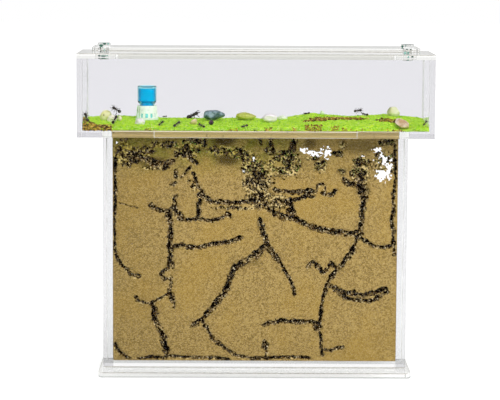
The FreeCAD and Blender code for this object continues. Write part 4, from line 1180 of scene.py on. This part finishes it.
def glueLines(material):
    film, bead, wall, front, rear = glue.values()
    # from x, to x, y, from height, to height and how thick
    strips = [
        # pale lines under the front edge of the box floor, thinner in the middle, and a film over it that has
        # a faint painted glow
        (-56.6, -27, wall, 136.0, 136.3, bead), (-27, 23.2, wall, 136.0, 136.18, bead),
        (23.2, 57.4, wall, 136.0, 136.32, bead), (57.4, 80, wall, 139.62, 139.88, bead),
        (-80, 57.4, wall, 139.32, 139.72, film),
        (-86, 86, -9.22, 3.06, 3.36, bead),  # foot of the front panel
        (-86.5, 86.5, front, 2.55, 2.9, film),  # grey lines along the edges of the base and of the frame
        (-99, 99, front, 182.6, 182.9, film), (-99, 99, rear, 182.6, 182.9, film),
    ]
    for side in (-1, 1):
        for y in (-9, 9):  # film between each tab and the box floor
            strips.append((side * 81.1, side * 86.4, y, 136.1, 139.9, film))
        strips.append((side * 99.75 - 0.15, side * 99.75 + 0.15, -24.9, 182.7, 182.95, 49.8))
        strips.append((side * 88.3 - 0.1, side * 88.3 + 0.1, -20, 2.65, 2.9, 40))
        strips.append((side * 57, side * 57.3, -9.02, 136.1, 139.9, film))
        strips.append((side * 84.6, side * 84.0, -6.03, 7, 139, film))
        for y in (-21.9, 21.7):  # upright corners inside the box
            strips.append((side * 96.95, side * 96.6, y, 144.5, 179.9, bead))
    finishStrips(strips, "glueLines", material, "habitat")
    edges = [(-91, 91, y, z, z + 0.25, film) for y, z in ((-17.2, 185.0), (17.1, 183.1), (17.1, 185.7))]
    edges.extend((x - 0.15, x + 0.15, -17.1, 185.7, 185.95, 34.2) for x in (-91.8, 91.8))
    finishStrips(edges, "lidEdges", material, "lid")


def glueMaterial():
    look = Finish("driedGlue", {"Roughness": 0.4, "Transmission Weight": 0.25})
    y, z = look.axis("Y"), look.axis("Z")
    # painted light: the films between tabs and box floor glow where the sheets would guide light to them, and
    # the film over the front edge of the box floor glows faintly
    inward = look.fade(y, -0.0214, -0.0212)
    paintedGlow = look.times(look.fade(z, 0.1358, 0.1359), inward, look.fade(z, 0.1401, 0.1403, 0.5, 0.0))
    over = look.times(look.fade(z, 0.139, 0.1392), look.fade(z, 0.1401, 0.1403, 1, 0), look.rest(inward))
    look.set("Emission Color", look.mix(over, (1.0, 1.0, 0.98), (0.95, 0.88, 0.66)))
    look.set("Emission Strength", look.calc("MAXIMUM", paintedGlow, look.times(over, 0.22)))
    streaks = look.noise(700.0, 3.0, 0.5, look.stretched(0.1))
    soft = look.fade(streaks, 0.35, 0.65)
    white = look.mix(soft, (0.8, 0.8, 0.78), (0.95, 0.95, 0.94))
    cream = look.mix(soft, (0.66, 0.58, 0.38), (0.8, 0.74, 0.55))
    surfaceTone = look.mix(look.fade(streaks, 0.3, 0.7), (0.46, 0.43, 0.37), (0.68, 0.65, 0.58))
    under = look.times(look.fade(z, 0.1366, 0.1368, 1.0, 0.0), look.rest(inward))
    color = look.mix(over, look.mix(under, white, cream), (0.9, 0.85, 0.68))
    color = look.mix(look.fade(z, 0.0035, 0.0036, 1.0, 0.0), color, surfaceTone)  # down at the base
    look.set("Base Color", look.mix(look.fade(z, 0.1815, 0.182), color, surfaceTone))  # lid and frame
    look.bump(streaks, 0.0001, 0.5)
    return look.material


# vents: seal rings, painted glints in the clear plugs, and woven mesh

vent = {"x": 86, "mesh": 178.7, "wire": 0.09, "pitch": 0.42, "radius": 2.45, "paintedGlint": 2.95,
        "seals": ((187.8, 3.5, 0.06), (183.3, 2.95, 0.05))}  # each seal's height, radius and thickness
# painted glints, dark and pale teal, in the clear plug: x from the vent's middle, z, half width, half height,
# tint
glintBits = {-1: [(-1.5, 186.5, 1.3, 0.55, 0.25), (0.4, 187.4, 0.9, 0.55, 0.3), (2.3, 187.3, 0.4, 0.7, 0.75),
                   (-2.5, 184.8, 0.8, 0.8, 0.0), (0.6, 184.3, 0.35, 0.6, 1.0), (-2.1, 182.9, 0.55, 0.55, 0.1),
                   (-2.3, 180.9, 0.7, 0.5, 0.1), (0.1, 180.8, 1.6, 0.45, 0.35), (1.9, 180.9, 1.0, 0.3, 0.7),
                   (-0.9, 179.2, 0.7, 0.35, 0.5)],
              1: [(-2.9, 186.6, 0.7, 0.6, 0.2), (-1.3, 187.0, 0.4, 0.4, 0.5), (-0.9, 185.4, 0.7, 0.5, 0.05),
                  (1.4, 185.3, 0.4, 0.5, 0.3), (-1.9, 183.3, 0.7, 0.7, 1.0), (-0.2, 183.3, 0.55, 0.7, 0.7),
                  (2.1, 181.1, 0.7, 0.5, 0.1), (-0.2, 181.0, 0.5, 0.6, 0.95), (-0.2, 178.95, 0.8, 0.4, 0.2)]}


def ventSeals(side, end, material):
    rings = []
    for height, radius, width in vent["seals"]:
        bpy.ops.mesh.primitive_torus_add(major_radius=radius * mm, minor_radius=width * mm, major_segments=40,
                                         minor_segments=10, location=(side * vent["x"] * mm, 0, height * mm))
        rings.append(bpy.context.object)
    finishPiece(join(rings), "ventSeal" + end.capitalize(), material,
                angle=60, body="vent_" + end)


def paintGlints(side, end, material):
    bits = []
    # painted glints: flat dark and pale teal bits on the plug's round face
    for x, z, wide, high, tint in glintBits[side]:
        bit = blob((0, 0, 0), (1, 0.5, 1), 20)
        settle(bit)
        reach = math.sqrt(max(0.1, vent["paintedGlint"] ** 2 - x ** 2))
        bit.location = ((side * vent["x"] + x) * mm, -reach * mm, z * mm)
        bit.scale = (wide * mm, 0.4 * mm, high * mm)
        settle(bit)
        keepValues(bit, "tint", np.full(len(bit.data.vertices), tint))
        bits.append(bit)
    finishPiece(join(bits), "paintedGlint" + end.capitalize(), material,
                angle=60, body="vent_" + end)


def ventMesh(side, end, material):
    # one bent wire, copied across and over, each cut to the disc's edge
    wires = []
    pitch = vent["pitch"]
    rows = int(vent["radius"] / pitch)
    for weft in (False, True):
        for row in range(-rows, rows + 1):
            offset = row * pitch
            length = 2 * math.sqrt(vent["radius"] ** 2 - offset ** 2)
            bpy.ops.mesh.primitive_cylinder_add(vertices=6, radius=vent["wire"] * mm, depth=length * mm,
                                                rotation=(0, math.pi / 2, 0))
            wire = bpy.context.object
            settle(wire)
            editAll(wire, bpy.ops.mesh.subdivide, number_cuts=max(3, round(length / pitch * 2)))
            spots = points(wire)
            over = vent["wire"] if (row % 2 == 0) == weft else -vent["wire"]
            spots[:, 2] += over * np.cos(spots[:, 0] * math.pi / pitch)
            movePoints(wire, spots)
            wire.rotation_euler = (0, 0, math.pi / 2 if weft else 0)
            along = (offset, 0) if weft else (0, offset)
            wire.location = ((side * vent["x"] + along[0]) * mm, along[1] * mm, vent["mesh"] * mm)
            wires.append(wire)
    finishPiece(join(wires), "ventMesh" + end.capitalize(), material, ["vent_mesh_" + end],
                angle=50, body="vent_" + end)


def sealAndGlintMaterial():
    look = Finish("tealRubberAndGlints", {"IOR": 1.5})
    cloudy = look.noise(800.0)
    # the seals are dark teal; the glint bits run from dark to pale teal, painted glints
    teal = look.ramp(look.kept("tint"), [(0.0, (0.004, 0.02, 0.045)), (0.3, (0.01, 0.09, 0.06)),
                                         (1.0, (0.4, 0.75, 0.7))])
    look.set("Base Color", look.mix(look.times(cloudy, 0.4), teal, (0.03, 0.2, 0.1)))
    look.set("Roughness", look.fade(cloudy, 0.3, 0.7, 0.15, 0.35))
    return look.material


def steelMaterial():
    look = Finish("wovenSteel", {"Metallic": 1.0, "IOR": 1.5})
    fine = look.noise(6000.0)
    look.set("Base Color", look.mix(fine, (0.42, 0.42, 0.4), (0.72, 0.72, 0.7)))
    look.set("Roughness", look.fade(fine, 0.3, 0.7, 0.22, 0.45))
    return look.material


# ants

# body: x, height over the legs, radii and tilt of each part from head to tail
antShape = {"leg": 0.032, "feeler": 0.024, "height": 0.18, "body": (
    (0.36, 0.03, (0.16, 0.16, 0.15), 18), (0.17, 0.03, (0.13, 0.12, 0.13), -8),
    (0.03, 0.01, (0.1, 0.1, 0.11), 8), (-0.07, 0, (0.055, 0.065, 0.08), 0),
    (-0.13, 0, (0.05, 0.065, 0.075), 0), (-0.31, 0.02, (0.2, 0.18, 0.18), -6))}
# where each ant is: head (x, y, z), tail (x, y, z) and which way its back faces
antPlaces = [
    ((-95.5, -21.6, 149.6), (-93.6, -21.6, 144.7), (0, 1, 0)),
    ((-81.3, -1, 151.4), (-76.5, -1, 148.6), (0, -1, 0.4)),
    ((-77.7, -21.6, 148.2), (-80.2, -21.6, 143.7), (0, 1, 0)),
    ((-51.7, -21.6, 145.2), (-54.4, -21.6, 142.9), (0, 1, 0)),
    ((-42.4, -21.6, 145.0), (-46.1, -21.6, 142.4), (0, 1, 0)),
    ((-33.1, 19, 146.9), (-39.5, 19, 143.8), (0, -0.4, 1)),
    ((-32.1, -21.6, 143.9), (-28.4, -21.6, 141.9), (0, 1, 0)),
    ((-8, -21.6, 142.1), (-4.4, -21.6, 143.3), (0, 1, 0)),
    ((-53.4, 20, 144.6), (-51.0, 20, 144.9), (0, 0, 1)),
    ((28.2, 20, 146.6), (31.7, 20, 147.0), (0, 0, 1)),
    ((61.5, 20, 148.9), (56.9, 20, 148.2), (0, -1, 0.3)),
    ((61.7, 19, 146.9), (65.3, 19, 146.2), (0, 0, 1)),
    ((68.7, 1, 144.8), (71.4, 1, 144.8), (0, 0, 1)),
    ((95.6, -21.6, 146.1), (93.7, -21.6, 143.6), (0, 1, 0)),
]


def rod(start, end, radius):
    start, end = Vector(start), Vector(end)
    bpy.ops.mesh.primitive_cylinder_add(vertices=5, radius=radius, depth=(end - start).length,
                                        location=(start + end) / 2,
                                        rotation=(end - start).to_track_quat("Z", "Y").to_euler())
    return bpy.context.object


def antModel():
    # one ant of length 1, walking along +X with its feet at height 0
    up, feeler, leg = antShape["height"], antShape["feeler"], antShape["leg"]
    parts = [blob((x, 0, up + rise), radii, tilt) for x, rise, radii, tilt in antShape["body"]]
    for side in (-1, 1):
        parts.append(rod((0.47, side * 0.05, up), (0.53, side * 0.015, up - 0.02), 0.016))  # jaw
        parts.append(blob((0.42, side * 0.085, up + 0.05), (0.02, 0.015, 0.02)))  # eye
        elbow = (0.53, side * 0.17, up + 0.14)
        parts.append(rod((0.45, side * 0.05, up + 0.05), elbow, feeler))
        parts.append(rod(elbow, (0.68, side * 0.14, up + 0.02), feeler * 1.2))
        for hip, foot in ((0.24, 0.46), (0.15, 0.1), (0.06, -0.26)):
            knee = (hip + (foot - hip) * 0.4, side * 0.19, up + 0.1)
            ankle = (hip + (foot - hip) * 0.85, side * 0.31, 0.03)
            parts.append(rod((hip, side * 0.03, up - 0.02), knee, leg))
            parts.append(rod(knee, ankle, leg * 0.8))
            parts.append(rod(ankle, (foot, side * 0.36, 0.005), leg * 0.6))
    ant = join(parts)
    settle(ant)
    return ant


def placeAnts(material):
    model = antModel()
    for number, (head, tail, back) in enumerate(antPlaces, 1):
        pick(model)
        bpy.ops.object.duplicate()
        ant = bpy.context.object
        head, tail = Vector(head), Vector(tail)
        ahead = (head - tail).normalized()
        left = Vector(back).cross(ahead).normalized()
        turn = Matrix((ahead, left, ahead.cross(left))).transposed().to_4x4()
        size = (head - tail).length
        ant.matrix_world = (Matrix.Translation((head + tail) / 2 * mm) @ turn @ Matrix.Scale(size * mm, 4)
                            @ Matrix.Translation((0, 0, -antShape["height"])))
        finishPiece(ant, f"ant{number}", material, angle=50)
    pick(model)
    bpy.ops.object.delete()


def antMaterial():
    look = Finish("antShell", {"IOR": 1.5})
    fine = look.noise(1800.0)
    look.set("Base Color", look.mix(look.fade(fine, 0.4, 0.7), (0.008, 0.006, 0.007), (0.05, 0.018, 0.01)))
    look.set("Roughness", look.fade(fine, 0.3, 0.7, 0.18, 0.4))
    look.bump(look.noise(9000.0, 2.0), 0.00003, 0.5)
    return look.material


addCamera()
buildStudio()
dressSheets()
print("studio and clear sheets ready")
nestSand(tanSandMaterial())
galleryGrains(looseGrainMaterial("looseTanGrain", sandStops))
print("nest sand dug")
greenBed(greenSandMaterial())
looseGreen(looseGrainMaterial("looseGreenGrain", greenStops, 0.7))
crumbs(looseGrainMaterial("brownCrumb", brownStops, 0.9))
soilHeap(soilMaterial(), looseGrainMaterial("soilCrumb", soilStops, 0.9))
print("bed and soil laid")
for node, stone in stones.items():
    buildStone(node, *stone)
print("stones placed")
bluePlastic = bottleMaterial()
blueWater = waterMaterial("blueWater", (0.0, 0.5, 0.85), (0.0, 0.72, 1.0), (0.0, 0.46, 0.8))
drinkerBottle(bluePlastic, blueWater)
drinkerTrough(waterMaterial("paleWater", (0.2, 0.75, 0.75), (0.4, 0.9, 0.9), (0.3, 0.7, 0.7)))
milky = milkyMaterial("milkyPlastic", (0.86, 0.92, 0.82), (0.98, 0.99, 0.95), (0.22, 0.5, 0.12))
dress(nodes["drinker_stand"], milky)
drinkerRibs(milkyMaterial("ribPlastic", (0.26, 0.52, 0.14), (0.5, 0.76, 0.38), (0.12, 0.36, 0.06)))
print("drinker built")
glueLines(glueMaterial())
sealAndGlints, steel = sealAndGlintMaterial(), steelMaterial()
for side, end in ((-1, "left"), (1, "right")):
    ventSeals(side, end, sealAndGlints)
    paintGlints(side, end, sealAndGlints)
    ventMesh(side, end, steel)
print("vents built")
placeAnts(antMaterial())
print("ants placed")
